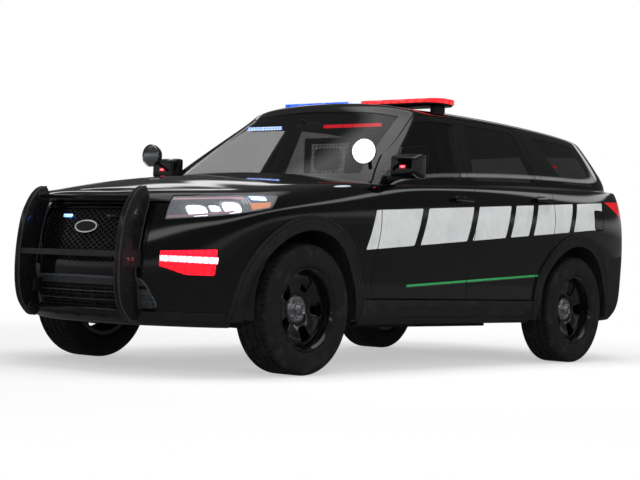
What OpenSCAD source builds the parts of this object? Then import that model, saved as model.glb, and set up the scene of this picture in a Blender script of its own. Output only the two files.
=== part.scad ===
// Police patrol car: a five-door sport utility patrol car with a push bumper,
// a roof light bar and pillar spotlights. Millimetres, +X forward, +Y to the
// driver's side, +Z up, origin on the floor under the middle of the car.
//
// The body is two closed B-spline skins, one below the belt line and one for the
// greenhouse. Each panel is the wall between a skin and its inset copy, cut along
// the seams where the real panels meet. Outlines are drawn in the design frame
// (front axle x = 1525, rear axle x = -1500, roof z = 1735), and fx(), fy() and
// fz() carry them to the sizes below.

/* [Body] */
// Length of the body, bumper to bumper
body_l = 5049; // [4200:1:6100]
// Width over the wheel arch flares
body_w = 2004; // [1670:1:2410]
// Height of the roof above the floor
body_h = 1735; // [1440:1:2090]
// Distance between the axles
wheelbase = 3025; // [2600:1:3400]
// Front axle to the front bumper
front_overhang = 905; // [760:1:1090]

/* [Panels] */
// Thickness of a whole door below its window
door_t = 72; // [56:1:90]
// Thickness of the door frames, pillars and roof rails
frame_t = 42; // [34:1:52]
// Thickness of the hood, fenders and bumper covers
wall_t = 22; // [16:1:30]
// Thickness of the window glass
glass_t = 5; // [4:1:8]
// Gap between neighbouring panels
seam = 6; // [5.5:0.5:9]

/* [Wheels] */
// Radius of a tyre
tyre_r = 381; // [330:1:400]
// Width of a tyre
tyre_w = 255; // [205:1:275]
// Radius of a wheel's rim flange
rim_r = 246; // [203:1:270]
// Distance between the left and right wheel centres
track = 1699; // [1416:1:1760]
// Radius of the spindle that carries a wheel
spindle_r = 30; // [24:1:36]
// Radial running clearance of spindles and steering pins
running = 0.05; // [0.02:0.01:0.1]
// Radius of the opening in a wheel arch flare
arch_r = 458; // [445:1:480]
// Width of a wheel arch flare, seen from the side
flare_w = 86; // [60:1:100]
// How far a flare stands out from the body side
flare_t = 14; // [8:1:20]

/* [Police equipment] */
// Reach of the push bumper ahead of the body
push_reach = 95; // [76:1:130]
// Distance between the push bumper's uprights
push_gap = 836; // [700:1:960]
// Length of the roof light bar
bar_l = 1376; // [1140:1:1480]
// Height of the light bar's lens band
bar_h = 44; // [36:1:60]
// Radius of a spotlight's head
spot_r = 76; // [60:1:92]

/* [Cabin] */
// Radius of the steering wheel
steering_r = 188; // [160:1:205]
// Radius of the steering wheel's shaft
shaft_r = 16; // [12:1:20]
// Width of a front seat
seat_w = 520; // [440:1:580]

/* [Hidden] */
$fn = 48;
far = 1400;           // reach of cutters past the body
gloss = [0.03, 0.03, 0.035];
matte = [0.11, 0.11, 0.11];
steel = [0.3, 0.3, 0.31];

// ---- from the design frame to the real sizes ----
x_tail = -(body_l + push_reach) / 2;
x_nose = x_tail + body_l;
x_fa = x_nose - front_overhang;
x_ra = x_fa - wheelbase;
function fx(x) =
  x > 1525 ? x_fa + (x - 1525) * front_overhang / 905
  : x > -1500 ? x_ra + (x + 1500) * wheelbase / 3025
  : x_ra + (x + 1500) * (x_ra - x_tail) / 1119;
function fy(y) = y * body_w / 2004;
function fz(z) = z * body_h / 1735;
function at(p) = [fx(p[0]), fy(p[1]), fz(p[2])];

module block(x, y, z) {
  translate(at([x[0], y[0], z[0]]))
    cube([fx(x[1]) - fx(x[0]), fy(y[1]) - fy(y[0]), fz(z[1]) - fz(z[0])]);
}
// Block with rounded edges along Y.
module soft_block(x, y, z, r = 30) {
  translate([0, fy(y[1]), 0]) rotate([90, 0, 0]) linear_extrude(fy(y[1]) - fy(y[0]))
    offset(r) offset(-r) translate([fx(x[0]), fz(z[0])]) square([fx(x[1]) - fx(x[0]), fz(z[1]) - fz(z[0])]);
}
module both_sides() {
  children();
  mirror([0, 1, 0]) children();
}
module y_cylinder(r, y0, y1) {
  translate([0, y0, 0]) rotate([-90, 0, 0]) cylinder(r = r, h = y1 - y0);
}
// Evaluates a curved panel as one mesh.
module panel() { resize([0, 0, 0]) children(); }

// ---- B-spline skins ----
// Weights of a uniform cubic B-spline at t.
function weights(t) = [pow(1 - t, 3), 3*t*t*t - 6*t*t + 4, -3*t*t*t + 3*t*t + 3*t + 1, t*t*t] / 6;
// Points along a B-spline through control points P, with n steps a span.
function spline(P, n) = [
  for (i = [0:len(P) - 4]) for (s = [0:(i == len(P) - 4 ? n : n - 1)])
    weights(s / n) * [P[i], P[i + 1], P[i + 2], P[i + 3]]
];
function swap_y(p) = [p[0], -p[1], p[2]];
// A row runs from the centre line at the front round to the centre line at the back.
function closed_row(R) = concat([swap_y(R[1])], R, [swap_y(R[len(R) - 2])]);
// A column keeps its own ends.
function open_column(C) = concat([2*C[0] - C[1]], C, [2*C[len(C) - 1] - C[len(C) - 2]]);

// Closed solid from rows of control points, bottom row first. The deck over the
// top row is crowned by deck_rise at half width deck_y.
module skin(rows, deck_rise, deck_y, steps_u = 2, steps_v = 1, deck_n = 6) {
  smooth = [for (r = rows) spline(closed_row(r), steps_u)];
  n = len(smooth[0]) - 1;
  side = [for (i = [0:n]) spline(open_column([for (r = smooth) r[i]]), steps_v)];
  m = len(side[0]);
  ring_n = 2*m + deck_n - 1;
  points = [for (i = [0:n]) each
    let (top = side[i][m - 1]) concat(
      side[i],
      [for (k = [1:deck_n - 1]) let (y = top[1] * (1 - 2*k / deck_n))
        [top[0], y, top[2] + deck_rise * (top[1]*top[1] - y*y) / (deck_y*deck_y)]],
      [for (k = [m - 1:-1:0]) swap_y(side[i][k])]
    )];
  // The rings at both ends lie on the centre line, so their two halves share points.
  function at_ring(i, j) = let (k = j % ring_n)
    ring_n*i + ((i == 0 || i == n) ? min(min(k, ring_n - 1 - k), m - 1) : k);
  faces = [for (i = [0:n - 1]) for (j = [0:ring_n - 1])
    for (f = [[at_ring(i, j), at_ring(i + 1, j + 1), at_ring(i + 1, j)],
              [at_ring(i, j), at_ring(i, j + 1), at_ring(i + 1, j + 1)]])
      if (f[0] != f[1] && f[1] != f[2] && f[0] != f[2]) f];
  polyhedron(points, faces, convexity = 8);
}

// Plan of the lower body at its widest, from the nose round to the tail.
plan = [[2440, 0], [2428, 300], [2322, 590], [2160, 850], [1985, 950], [1780, 984], [1525, 991],
  [1150, 991], [860, 991], [600, 991], [200, 991], [-300, 991], [-800, 991], [-1200, 992],
  [-1500, 992], [-1900, 982], [-2250, 942], [-2470, 838], [-2585, 610], [-2619, 300],
  [-2626, 0]];
// Each line of the lower body is [heights, insets], as pairs of station and value.
// The last line rolls over into the hood, and drops inside the cabin behind it.
lines = [
  [[[0, 262], [4, 272], [6, 285], [15, 290], [20, 330]],
   [[0, 150], [3, 120], [5, 100], [15, 100], [20, 130]]],
  [[[0, 330], [4, 340], [15, 345], [20, 390]],
   [[0, 70], [3, 60], [5, 62], [15, 60], [20, 50]]],
  [[[0, 430], [4, 430], [15, 440], [20, 470]],
   [[0, 10], [3, 22], [5, 46], [15, 40], [20, 6]]],
  [[[0, 560], [4, 560], [15, 580], [20, 600]],
   [[0, 0], [3, 12], [5, 44], [7, 60], [13, 56], [15, 34], [20, 0]]],
  [[[0, 690], [4, 700], [15, 730], [20, 740]],
   [[0, 14], [3, 14], [5, 20], [8, 30], [13, 24], [15, 16], [20, 14]]],
  [[[0, 830], [4, 840], [15, 930], [20, 880]],
   [[0, 66], [3, 20], [5, 2], [15, 0], [17, 20], [20, 80]]],
  [[[0, 940], [4, 950], [7, 1000], [15, 1120], [20, 1080]],
   [[0, 100], [3, 46], [5, 2], [15, 10], [17, 40], [20, 110]]],
  [[[0, 1000], [4, 1016], [7, 1090], [9, 1146], [11, 1196], [15, 1254], [17, 1262], [20, 1250]],
   [[0, 128], [3, 92], [5, 50], [7, 26], [10, 22], [15, 66], [17, 90], [20, 150]]],
  [[[0, 1018], [4, 1040], [6, 1090], [7, 1132], [9, 1174], [11, 1222], [15, 1280], [17, 1288],
    [20, 1276]],
   [[0, 168], [3, 140], [5, 96], [7, 50], [9, 40], [10, 44], [11, 52], [15, 84], [17, 120],
    [20, 176]]],
  [[[0, 1030], [4, 1052], [6, 1106], [7, 1146], [8, 1166], [9, 1080], [11, 1100], [15, 1160],
    [20, 1160]],
   [[0, 230], [3, 210], [5, 165], [7, 130], [8, 120], [9, 150], [15, 190], [17, 220], [20, 290]]]
];
function unit(v) = v / norm(v);
function plan_normal(i) = let (
    before = plan[max(i - 1, 0)], after = plan[min(i + 1, len(plan) - 1)], t = after - before)
  i == 0 ? [1, 0] : i == len(plan) - 1 ? [-1, 0] : unit([t[1], -t[0]]);
// One row of the lower skin, moved in by t and up by rise.
function lower_row(l, t, rise) = [for (i = [0:len(plan) - 1])
  let (n = plan_normal(i), p = plan[i] - lookup(i, l[1]) * n)
    at([p[0], p[1], lookup(i, l[0])]) + [-t*n[0], -t*n[1], rise]];
// How far each line moves in and down in an inset copy, as shares of the inset.
move_in = [1, 1, 1, 1, 1, 1, 1, 1, 0.3, -0.5];
move_down = [0, 0, 0, 0, 0, 0, 0, 1, 1, 1.2];
module lower_body(t = 0) {
  skin(concat(
      t > 0 ? [lower_row(lines[0], t, -fz(260))] : [],
      [for (k = [0:len(lines) - 1]) lower_row(lines[k], t * move_in[k], -t * move_down[k])]),
    62, fy(860));
}

// Greenhouse stations, from the foot of the windshield round to the rear window:
// a point at the belt and one at the roof edge.
belt = [[1128, 0, 1172], [1108, 330, 1172], [1044, 600, 1170], [960, 745, 1168], [898, 824, 1166],
  [858, 910, 1166], [770, 944, 1170], [560, 944, 1180], [200, 931, 1202], [-150, 919, 1220],
  [-700, 905, 1246], [-1200, 896, 1264], [-1650, 886, 1278], [-2010, 868, 1288],
  [-2210, 812, 1292], [-2340, 690, 1290], [-2420, 480, 1284], [-2452, 240, 1280],
  [-2458, 0, 1278]];
eaves = [[336, 0, 1684], [328, 280, 1678], [302, 500, 1664], [266, 606, 1652], [236, 672, 1640],
  [206, 704, 1636], [130, 712, 1636], [0, 714, 1640], [-180, 714, 1646], [-340, 712, 1648],
  [-800, 710, 1648], [-1200, 706, 1640], [-1600, 698, 1626], [-1900, 684, 1610],
  [-2060, 650, 1598], [-2146, 580, 1594], [-2200, 430, 1596], [-2228, 210, 1602],
  [-2232, 0, 1604]];
bulge = 8;            // outward bow of the side glass between belt and roof
tuck = -120;          // how far the greenhouse turns in under the belt
function green_out(i) = unit([belt[i][0] + 700, 3*belt[i][1]]);
// A point t of the way from belt to roof at station i, moved out and up.
function green_row(t, out, up, inset) = [for (i = [0:len(belt) - 1])
  let (p = belt[i] + t * (eaves[i] - belt[i]), d = green_out(i))
    at(p + [out * d[0], out * d[1], up]) - [inset * d[0], inset * d[1], 0]];
module greenhouse(t = 0) {
  skin([
      green_row(-0.45, tuck, 0, t), green_row(0, 0, 0, t), green_row(0.35, bulge, 0, t),
      green_row(0.7, bulge, 0, t), green_row(1, 4, -6 - 0.3*t, t), green_row(1, -24, 32 - t, t),
      green_row(1, -90, 50 - t, t)],
    34, fy(640));
}
// Wall between the outer skin and an inset copy.
module wall(t_lower, t_upper, out = 0) {
  difference() {
    union() {
      lower_body(-out);
      greenhouse();
    }
    lower_body(t_lower);
    greenhouse(t_upper);
  }
}

// ---- seams ----
// Seams of the doors lean forward as they go inboard, so that a door's trailing
// edge swings clear of its neighbour. x and z are given on the skin.
lean = 0.4;
function skin_y(z) = z < 1172 ? 980 : 980 - (z - 1100) * 0.5;
function on_skin(p, k) = [fx(p[0]) - k * (fy(984) - fy(skin_y(p[1]))), fz(p[1])];
// A prism through the left side of the body under a side outline.
module side_prism(outline, grow = 0, k = lean, y0 = 380) {
  multmatrix([[1, -k, 0, k * fy(984)], [0, 1, 0, 0], [0, 0, 1, 0], [0, 0, 0, 1]])
    translate([0, far, 0]) rotate([90, 0, 0]) linear_extrude(far - fy(y0))
      offset(delta = grow) polygon([for (p = outline) on_skin(p, k)]);
}
// A prism along X under a front outline, from x0 to x1. Points are [y, z].
module front_prism(outline, x0, x1, grow = 0) {
  translate([fx(x0), 0, 0]) rotate([90, 0, 90]) linear_extrude(fx(x1) - fx(x0))
    offset(delta = grow) polygon([for (p = outline) [fy(p[0]), fz(p[1])]]);
}
// A prism straight up under a plan outline.
module plan_prism(outline, z0, grow = 0) {
  translate([0, 0, fz(z0)]) linear_extrude(far)
    offset(delta = grow) polygon([for (p = outline) [fx(p[0]), fy(p[1])]]);
}
function reversed(L) = [for (i = [len(L) - 1:-1:0]) L[i]];
// A half outline and its mirror image across the first coordinate or the second.
function with_mirror(half, k) = concat(half,
  [for (p = reversed(half)) k == 0 ? [-p[0], p[1]] : [p[0], -p[1]]]);

door_z = 446;         // foot of the doors
fender_x = 884;       // front edge of the front doors
front_edge = [[fender_x, door_z], [fender_x, 1060], [878, 1130], [856, 1172]];
b_line = [[-268, 1656], [-152, 1225], [-142, 1100], [-142, door_z]];
c_line = [[-1010, 1652], [-1046, 1560], [-1140, 1270], [-1152, 1000], [-1130, 830],
  [-1060, 720], [-985, 600], [-952, 500], [-946, door_z]];
front_door_outline = concat(front_edge, [[196, 1640], [100, 1650]], b_line);
rear_door_outline = concat(reversed(b_line), [[-700, 1660]], c_line);
front_window = [[770, 1204], [236, 1588], [60, 1608], [-186, 1610], [-76, 1230], [400, 1214]];
rear_window = [[-226, 1236], [-330, 1614], [-640, 1620], [-936, 1612], [-1064, 1274], [-700, 1258]];
quarter_window = [[-1206, 1600], [-1446, 1290], [-1985, 1300], [-1900, 1580], [-1560, 1600]];
headlamp = [[1785, 1024], [1860, 948], [2090, 900], [2320, 858], [2420, 858], [2420, 985],
  [2297, 990], [2060, 1012], [1900, 1026]];
lamp_pod = [[2136, 712], [2146, 556], [2250, 556], [2336, 610], [2440, 624], [2440, 680]];
tail_lamp = [[-1940, 1182], [-2240, 1196], [-2700, 1176], [-2700, 975], [-2420, 990],
  [-2240, 1080], [-2060, 1140]];
bumper_seam = [[1990, 200], [1985, 640], [1900, 800], [1900, 956], [2700, 956], [2700, 200]];
rear_bumper_seam = [[-1960, 200], [-1985, 560], [-2020, 760], [-2330, 790], [-2800, 790],
  [-2800, 200]];
hood_side = [[972, 748], [1060, 778], [1400, 774], [1800, 744], [2060, 690], [2200, 640], [2600, 600]];
hood_plan = with_mirror(concat([[1146, 0], [1126, 330], [1062, 600]], hood_side), 1);
grille_outline = with_mirror([[0, 940], [420, 940], [520, 860], [470, 640], [380, 600], [0, 596]], 0);
intake_outline = with_mirror([[0, 540], [480, 536], [520, 480], [470, 350], [0, 340]], 0);
windshield = with_mirror([[0, 1196], [420, 1198], [780, 1216], [738, 1330], [640, 1625],
  [480, 1650], [0, 1668]], 0);
gate_outline = with_mirror([[0, 730], [690, 730], [712, 1000], [708, 1290], [612, 1570],
  [600, 1720], [0, 1720]], 0);
gate_window = with_mirror([[0, 1300], [640, 1312], [560, 1540], [0, 1560]], 0);
gate_x = -2140;       // hinge line of the liftgate, at the back of the roof
roof_plan = with_mirror([[250, 0], [240, 300], [200, 560], [-300, 610], [-1500, 606], [-2060, 570],
  [gate_x, 520], [gate_x, 0]], 1);
fuel_cap = [-1800, 1040];

// Inner face of the side wall, seen from the front: depth from the door's inner face, and height.
door_face = [[74, 0], [74, 600], [9, 900], [9, 1044], [34, 1176], [278, 1645], [278, 1800]];
function face_y(depth) = fy(984) - door_t - depth;
// The space of a door: its outline, as deep as the side wall is.
module door_space(outline, grow, deeper = 0) {
  intersection() {
    side_prism(outline, grow);
    translate([fx(-1400), 0, 0]) rotate([90, 0, 90]) linear_extrude(fx(1200) - fx(-1400))
      offset(delta = deeper)
        polygon(concat([for (p = door_face) [face_y(p[0]), fz(p[1])]], [[far, fz(1800)], [far, 0]]));
  }
}
module fuel_outline() {
  translate([fx(fuel_cap[0]), fz(fuel_cap[1])]) offset(20) square(130, center = true);
}
module fuel_prism(grow = 0) {
  translate([0, far, 0]) rotate([90, 0, 0]) linear_extrude(far - fy(400)) offset(delta = grow) fuel_outline();
}
// Opening of the wheel arches, with the wall around it.
module arches(extra = 0) {
  for (x = [x_fa, x_ra]) translate([x, 0, tyre_r])
    rotate([90, 0, 0]) cylinder(r = arch_r + extra, h = 2*far, center = true);
}
// The space behind the windshield plane that its opening may take away.
module windshield_space() {
  intersection() {
    front_prism(windshield, -200, 1300);
    translate([0, far, 0]) rotate([90, 0, 0]) linear_extrude(2*far)
      polygon([for (p = [[1240, 1120], [1240, 1800], [100, 1800], [130, 1640], [820, 1180]])
        [fx(p[0]), fz(p[1])]]);
  }
}
module gate_space(grow = 0) {
  front_prism(gate_outline, -2900, gate_x, grow);
}
module hood_space(grow = 0) {
  plan_prism(hood_plan, 962 - grow, grow);
}
module lamps_space(outline, grow = 0) {
  both_sides() side_prism(outline, grow, 0, 540 - grow);
}

// ---- panels of the root body ----
// Section of the post between the doors: depth from the door's inner face, and height.
post = [[86, 430], [69, 640], [14, 900], [14, 1020], [48, 1120], [300, 1650], [342, 1650], [90, 1120],
  [62, 1020], [62, 900], [120, 640], [130, 430]];
module body_sides() {
  color(gloss) {
    panel() difference() {
      intersection() {
        wall(wall_t, frame_t);
        union() {
          block([-2560, fender_x], [-1100, 1100], [door_z - 20, 2000]);
          cowl_space();
        }
      }
      both_sides() {
        for (o = [front_door_outline, rear_door_outline]) door_space(o, seam / 2, 2*seam);
        side_prism(quarter_window, 0, 0);
        side_prism(rear_bumper_seam, 0, 0, -10);
        block([-2000, fender_x], [700, 1100], [0, door_z]);
      }
      windshield_space();
      gate_space(seam / 2);
      hood_space(seam / 2);
      // the cabin between the side walls
      block([-2200, 600], [-822, 822], [700, 1200]);
      plan_prism(roof_plan, 1500);
      arches(flare_w / 2);
      lamps_space(tail_lamp);
      fuel_prism(1.5 * seam);
    }
    // posts behind the doors' edges
    both_sides() {
      translate([fx(-215), 0, 0]) rotate([90, 0, 90]) linear_extrude(fx(-105) - fx(-215))
        polygon([for (p = post) [face_y(p[0]), fz(p[1])]]);
      block([800, 878], [705, 835], [430, 1130]);
    }
  }
}
// The strip between the hood and the windshield.
module cowl_space() {
  block([800, 1150], [-742, 742], [1080, 2000]);
}
module front_fenders() {
  color(gloss) panel() difference() {
    intersection() {
      wall(wall_t, frame_t);
      both_sides() block([fender_x, 2600], [600, 1100], [door_z, 1500]);
    }
    cowl_space();
    both_sides() {
      door_space(front_door_outline, seam / 2, 2*seam);
      side_prism(bumper_seam, 0, 0, 0);
    }
    hood_space(seam / 2);
    arches(flare_w / 2);
    lamps_space(headlamp);
  }
}
module roof_panel() {
  color(gloss) panel() intersection() {
    wall(wall_t, wall_t + 10);
    plan_prism(roof_plan, 1500);
  }
}
module hood() {
  color(gloss) panel() difference() {
    intersection() {
      lower_body();
      hood_space(-seam / 2);
    }
    lower_body(wall_t);
    lamps_space(headlamp, seam);
  }
}
module front_bumper() {
  color(gloss) panel() difference() {
    intersection() {
      lower_body();
      both_sides() side_prism(bumper_seam, 0, 0, -10);
    }
    lower_body(wall_t);
    arches(flare_w / 2);
    hood_space(seam);
    lamps_space(headlamp);
    lamps_space(lamp_pod);
    front_prism(grille_outline, 2000, 2700);
    front_prism(intake_outline, 2000, 2700);
  }
}
// Part of the wall, t0 to t1 under the skin.
module layer(t0, t1) {
  difference() {
    lower_body(t0);
    lower_body(t1);
  }
}
module grille() {
  color(matte) {
    panel() difference() {
      intersection() {
        layer(10, wall_t + 8);
        union() {
          front_prism(grille_outline, 2000, 2700);
          front_prism(intake_outline, 2000, 2700);
        }
      }
      both_sides() stay(seam);
    }
  }
}
module front_lamps() {
  color([0.8, 0.85, 0.9]) panel() {
    intersection() {
      layer(0, 46);
      lamps_space(headlamp);
    }
    intersection() {
      layer(2, 36);
      lamps_space(lamp_pod);
    }
  }
}
module rear_bumper() {
  color(matte) panel() difference() {
    intersection() {
      lower_body();
      both_sides() side_prism(rear_bumper_seam, 0, 0, -10);
    }
    lower_body(wall_t);
    arches(flare_w / 2);
    gate_space(seam / 2);
  }
}
module tail_lamps() {
  color([0.6, 0.02, 0.03]) panel() difference() {
    intersection() {
      layer(0, 40);
      lamps_space(tail_lamp);
    }
    gate_space(seam / 2);
    greenhouse();
    // the deck inboard of the lamps
    translate([0, 0, fz(1100)]) linear_extrude(fz(1300) - fz(1100)) for (s = [-1, 1])
      polygon([for (p = [[-1980, 400], [-1980, 850], [-2360, 765], [-2360, 400]]) [fx(p[0]), s * fy(p[1])]]);
  }
}
module fixed_glass() {
  color([0.12, 0.13, 0.14, 0.5]) panel() intersection() {
    difference() {
      greenhouse(2);
      greenhouse(2 + glass_t);
    }
    union() {
      windshield_space();
      both_sides() side_prism(quarter_window, 0, 0);
    }
    difference() {
      block([-2200, 1200], [-1000, 1000], [1180, 1800]);
      both_sides() door_space(front_door_outline, 2 * seam, 2 * seam);
    }
  }
}
module cladding() {
  color(matte) {
    // flares: a band on the panels, and a lip that turns in under their edges
    panel() intersection() {
      union() {
        layer(-flare_t, -1);
        intersection() {
          layer(1 - flare_t, wall_t);
          arches(flare_w / 2 - 1);
        }
      }
      both_sides() block([-2100, 2120], [600, 1100], [306, 1100]);
      difference() {
        arches(flare_w);
        arches(0);
      }
    }
    // rockers
    panel() difference() {
      intersection() {
        layer(-flare_t / 2, 50);
        both_sides() block([-1100, 1090], [780, 1100], [285, door_z - seam]);
      }
      arches(flare_w + 1);
    }
    // liners over the tyres
    both_sides() for (x = [x_fa, x_ra]) translate([x, 0, tyre_r]) difference() {
      rotate([-90, 0, 0]) translate([0, 0, fy(490)])
        cylinder(r = arch_r + 10, h = fy(960) - fy(490), $fn = 72);
      rotate([-90, 0, 0]) translate([0, 0, fy(480)]) cylinder(r = arch_r + 4, h = far, $fn = 72);
      translate([-far, 0, -far]) cube([2*far, far, far - 60]);
    }
    both_sides() for (x = [x_fa, x_ra]) translate([x, 0, tyre_r]) difference() {
      rotate([-90, 0, 0]) translate([0, 0, fy(484)]) cylinder(r = arch_r + 10, h = fy(490) - fy(484));
      translate([-far, 0, -far]) cube([2*far, far, far + lug_z + 40]);
    }
  }
}

// ---- doors ----
module door(outline, window) {
  color(gloss) panel() difference() {
    intersection() {
      wall(door_t, frame_t);
      door_space(outline, -seam / 2);
    }
    side_prism(window);
    arches(flare_w + 8);
  }
}
module door_glass(outline, window) {
  color([0.12, 0.13, 0.14, 0.5]) panel() intersection() {
    difference() {
      greenhouse(2);
      greenhouse(2 + glass_t);
    }
    side_prism(window);
    door_space(outline, -seam);
  }
}
mirror_at = [690, 1032, 1262];
module side_mirror() {
  color(gloss) {
    hull() {
      translate(at(mirror_at) + [30, 62, 6]) sphere(40, $fn = 24);
      translate(at(mirror_at) + [40, -62, 4]) sphere(38, $fn = 24);
      translate(at(mirror_at) + [-34, 0, 0]) rotate([0, 90, 0]) linear_extrude(10)
        offset(40) square([90, 124], center = true);
    }
    // foot on the door's front corner
    panel() difference() {
      hull() {
        translate(at(mirror_at) + [14, -34, -52]) sphere(20, $fn = 20);
        translate(at([770, 926, 1186])) sphere(18, $fn = 20);
        translate(at([690, 930, 1186])) sphere(18, $fn = 20);
      }
      lower_body();
      greenhouse();
    }
  }
}
module liftgate() {
  color(gloss) panel() difference() {
    intersection() {
      wall(frame_t, frame_t);
      gate_space(-seam);
      block([-2900, gate_x - seam], [-1100, 1100], [700, 1900]);
    }
    front_prism(gate_window, -2900, -2100);
  }
}
module rear_glass() {
  color([0.05, 0.05, 0.06, 0.6]) panel() intersection() {
    difference() {
      greenhouse(2);
      greenhouse(2 + glass_t);
    }
    front_prism(gate_window, -2900, -2100);
  }
}
module fuel_door() {
  color(gloss) panel() intersection() {
    layer(0, wall_t / 2);
    fuel_prism();
  }
}

// ---- police equipment ----
// Side outline of a push bumper upright: its front edge, and its back edge along the nose.
function push_x(x) = x_nose + (x - 2430) * (x > 2430 ? push_reach / 95 : 1);
upright_front = [[2330, 1040], [2356, 1042], [2400, 1020], [2446, 965], [2490, 870], [2515, 740],
  [2525, 610], [2520, 480], [2494, 380], [2440, 312], [2400, 292], [2362, 300]];
upright_back = [[2344, 345], [2362, 400], [2368, 480], [2386, 540], [2390, 590], [2376, 660],
  [2362, 740], [2345, 820], [2324, 900], [2308, 960], [2312, 1010]];
push_bars = [[2385, 987, 12], [2430, 345, 11]];   // x, z and radius
module upright(y) {
  translate([0, y + 21, 0]) rotate([90, 0, 0]) linear_extrude(42)
    polygon([for (p = concat(upright_front, upright_back)) [push_x(p[0]), fz(p[1])]]);
}
// Stay from an upright to the beam across the ends of the front rails.
module stay(grow = 0) {
  translate([fx(2240), push_gap / 2 - 62 - grow, fz(430) - grow])
    cube([push_x(2440) - fx(2240), 44 + 2*grow, 80 + 2*grow]);
}
module push_bumper() {
  color(matte) {
    both_sides() {
      upright(push_gap / 2);
      stay();
    }
    for (bar = push_bars)
      translate([push_x(bar[0]), 0, fz(bar[1])])
        y_cylinder(bar[2], -push_gap / 2 + 15, push_gap / 2 - 15);
    // flat bar between the uprights
    translate([push_x(2513) - 14, -push_gap / 2 + 15, fz(645)]) cube([14, push_gap - 30, 34]);
  }
}
bar_x = -207;
bar_z = fz(1735) + 8;
module light_bar() {
  color([0.05, 0.05, 0.05]) {
    hull() for (s = [-1, 1]) translate([fx(bar_x), s * (bar_l / 2 - 150), bar_z])
      cylinder(r = 140, h = 12);
    panel() difference() {
      both_sides() translate([fx(bar_x) - 60, bar_l / 2 - 110, fz(1690)]) cube([120, 50, bar_z - fz(1690)]);
      greenhouse();
    }
  }
  color([0.5, 0.6, 0.9]) hull() for (s = [-1, 1]) translate([fx(bar_x), s * (bar_l / 2 - 150), bar_z + 12]) {
    cylinder(r = 150, h = bar_h - 12);
    cylinder(r = 138, h = bar_h);
  }
}
spot_at = [975, 908, 1338];
module spotlights() {
  color("silver") both_sides() {
    translate(at(spot_at)) rotate([0, 90, 0]) {
      cylinder(r = spot_r, h = 26);
      translate([0, 0, -62]) cylinder(r1 = spot_r * 0.45, r2 = spot_r, h = 62);
    }
    panel() difference() {
      hull() {
        translate(at(spot_at) + [-40, 0, -30]) sphere(14, $fn = 20);
        translate(at([850, 860, 1240])) sphere(14, $fn = 20);
      }
      greenhouse();
    }
  }
}

// ---- cabin ----
module floor_pan() {
  color([0.08, 0.08, 0.08]) {
    difference() {
      union() {
        block([-1130, 1180], [-820, 820], [300, 320]);
        block([-2380, -1120], [-760, 760], [620, 640]);
        block([-1140, -1120], [-820, 820], [300, 640]);
        block([1160, 1180], [-690, 690], [320, 1060]);
        // sills that the posts of the body sides stand on
        both_sides() block([-1120, 900], [775, 820], [310, 430]);
      }
      both_sides() for (x = [x_fa, x_ra]) translate([x, fy(483), tyre_r])
        rotate([-90, 0, 0]) cylinder(r = arch_r + 11, h = far);
    }
    // rails under the floors and in the engine bay, and the beam across their front ends
    both_sides() {
      block([-1130, 1180], [350, 430], [240, 300]);
      block([-2380, -1130], [350, 430], [560, 620]);
      block([1170, 2220], [350, 430], [300, 400]);
    }
    block([2190, 2240], [-440, 440], [300, 540]);
  }
}
module dashboard() {
  color([0.1, 0.1, 0.1]) {
    soft_block([640, 1000], [-690, 690], [760, 1140], 60);
    block([880, 1000], [-500, 500], [320, 780]);
    block([100, 700], [-110, 110], [320, 640]);
    // steering column, with the bore for its shaft
    translate(at(steer_at)) rotate([0, 90 + steer_tilt, 0]) difference() {
      translate([0, 0, 70]) cylinder(r = 38, h = 220);
      translate([0, 0, 60]) cylinder(r = shaft_r + running, h = 120);
    }
    // laptop stand
    translate(at([420, -60, 640])) cylinder(r = 18, h = 180);
    translate(at([420, -60, 640]) + [-110, -150, 180]) cube([220, 300, 14]);
  }
}
steer_at = [400, 385, 1010];
steer_tilt = 24;
module steering_wheel() {
  color([0.07, 0.07, 0.07]) translate(at(steer_at)) rotate([0, 90 + steer_tilt, 0]) {
    rotate_extrude() translate([steering_r - 15, 0]) circle(15, $fn = 24);
    for (a = [0, 120, 240]) rotate([0, 0, a]) translate([0, -18, -6]) cube([steering_r - 20, 36, 12]);
    translate([0, 0, -14]) cylinder(r = 62, h = 34);
    cylinder(r = shaft_r, h = 160);
  }
}
module seat(x, y, w) {
  translate([0, fy(y) - w / 2, 0]) {
    translate([0, w, 0]) rotate([90, 0, 0]) linear_extrude(w) offset(40) offset(-40) {
      polygon([for (p = [[x + 250, 530], [x + 270, 640], [x - 200, 640], [x - 250, 520]])
        [fx(p[0]), fz(p[1])]]);
    }
    translate([0, w, 0]) rotate([90, 0, 0]) linear_extrude(w) offset(40) offset(-40) {
      polygon([for (p = [[x - 180, 641], [x - 300, 560], [x - 440, 1240], [x - 340, 1280]])
        [fx(p[0]), fz(p[1])]]);
    }
  }
}
module front_seats() {
  color([0.12, 0.12, 0.13]) both_sides() {
    seat(150, 385, seat_w);
    translate([fx(150 - 440), fy(385) - 130, fz(1305)]) rotate([0, -8, 0]) cube([80, 260, 190]);
    for (s = [-60, 60]) translate([fx(150 - 400), fy(385) + s, fz(1240)])
      cylinder(r = 8, h = fz(1320) - fz(1240));
    translate([fx(-50), fy(385) - 150, fz(320)]) cube([380, 300, fz(535) - fz(320)]);
  }
}
module rear_seat() {
  color([0.1, 0.1, 0.11]) {
    soft_block([-1000, -480], [-640, 640], [440, 620], 40);
    translate([0, fy(640), 0]) rotate([90, 0, 0]) linear_extrude(2 * fy(640)) offset(30) offset(-30)
      polygon([for (p = [[-940, 622], [-1040, 640], [-1180, 1230], [-1090, 1260]]) [fx(p[0]), fz(p[1])]]);
    block([-960, -540], [-600, 600], [320, 440]);
  }
}
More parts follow.
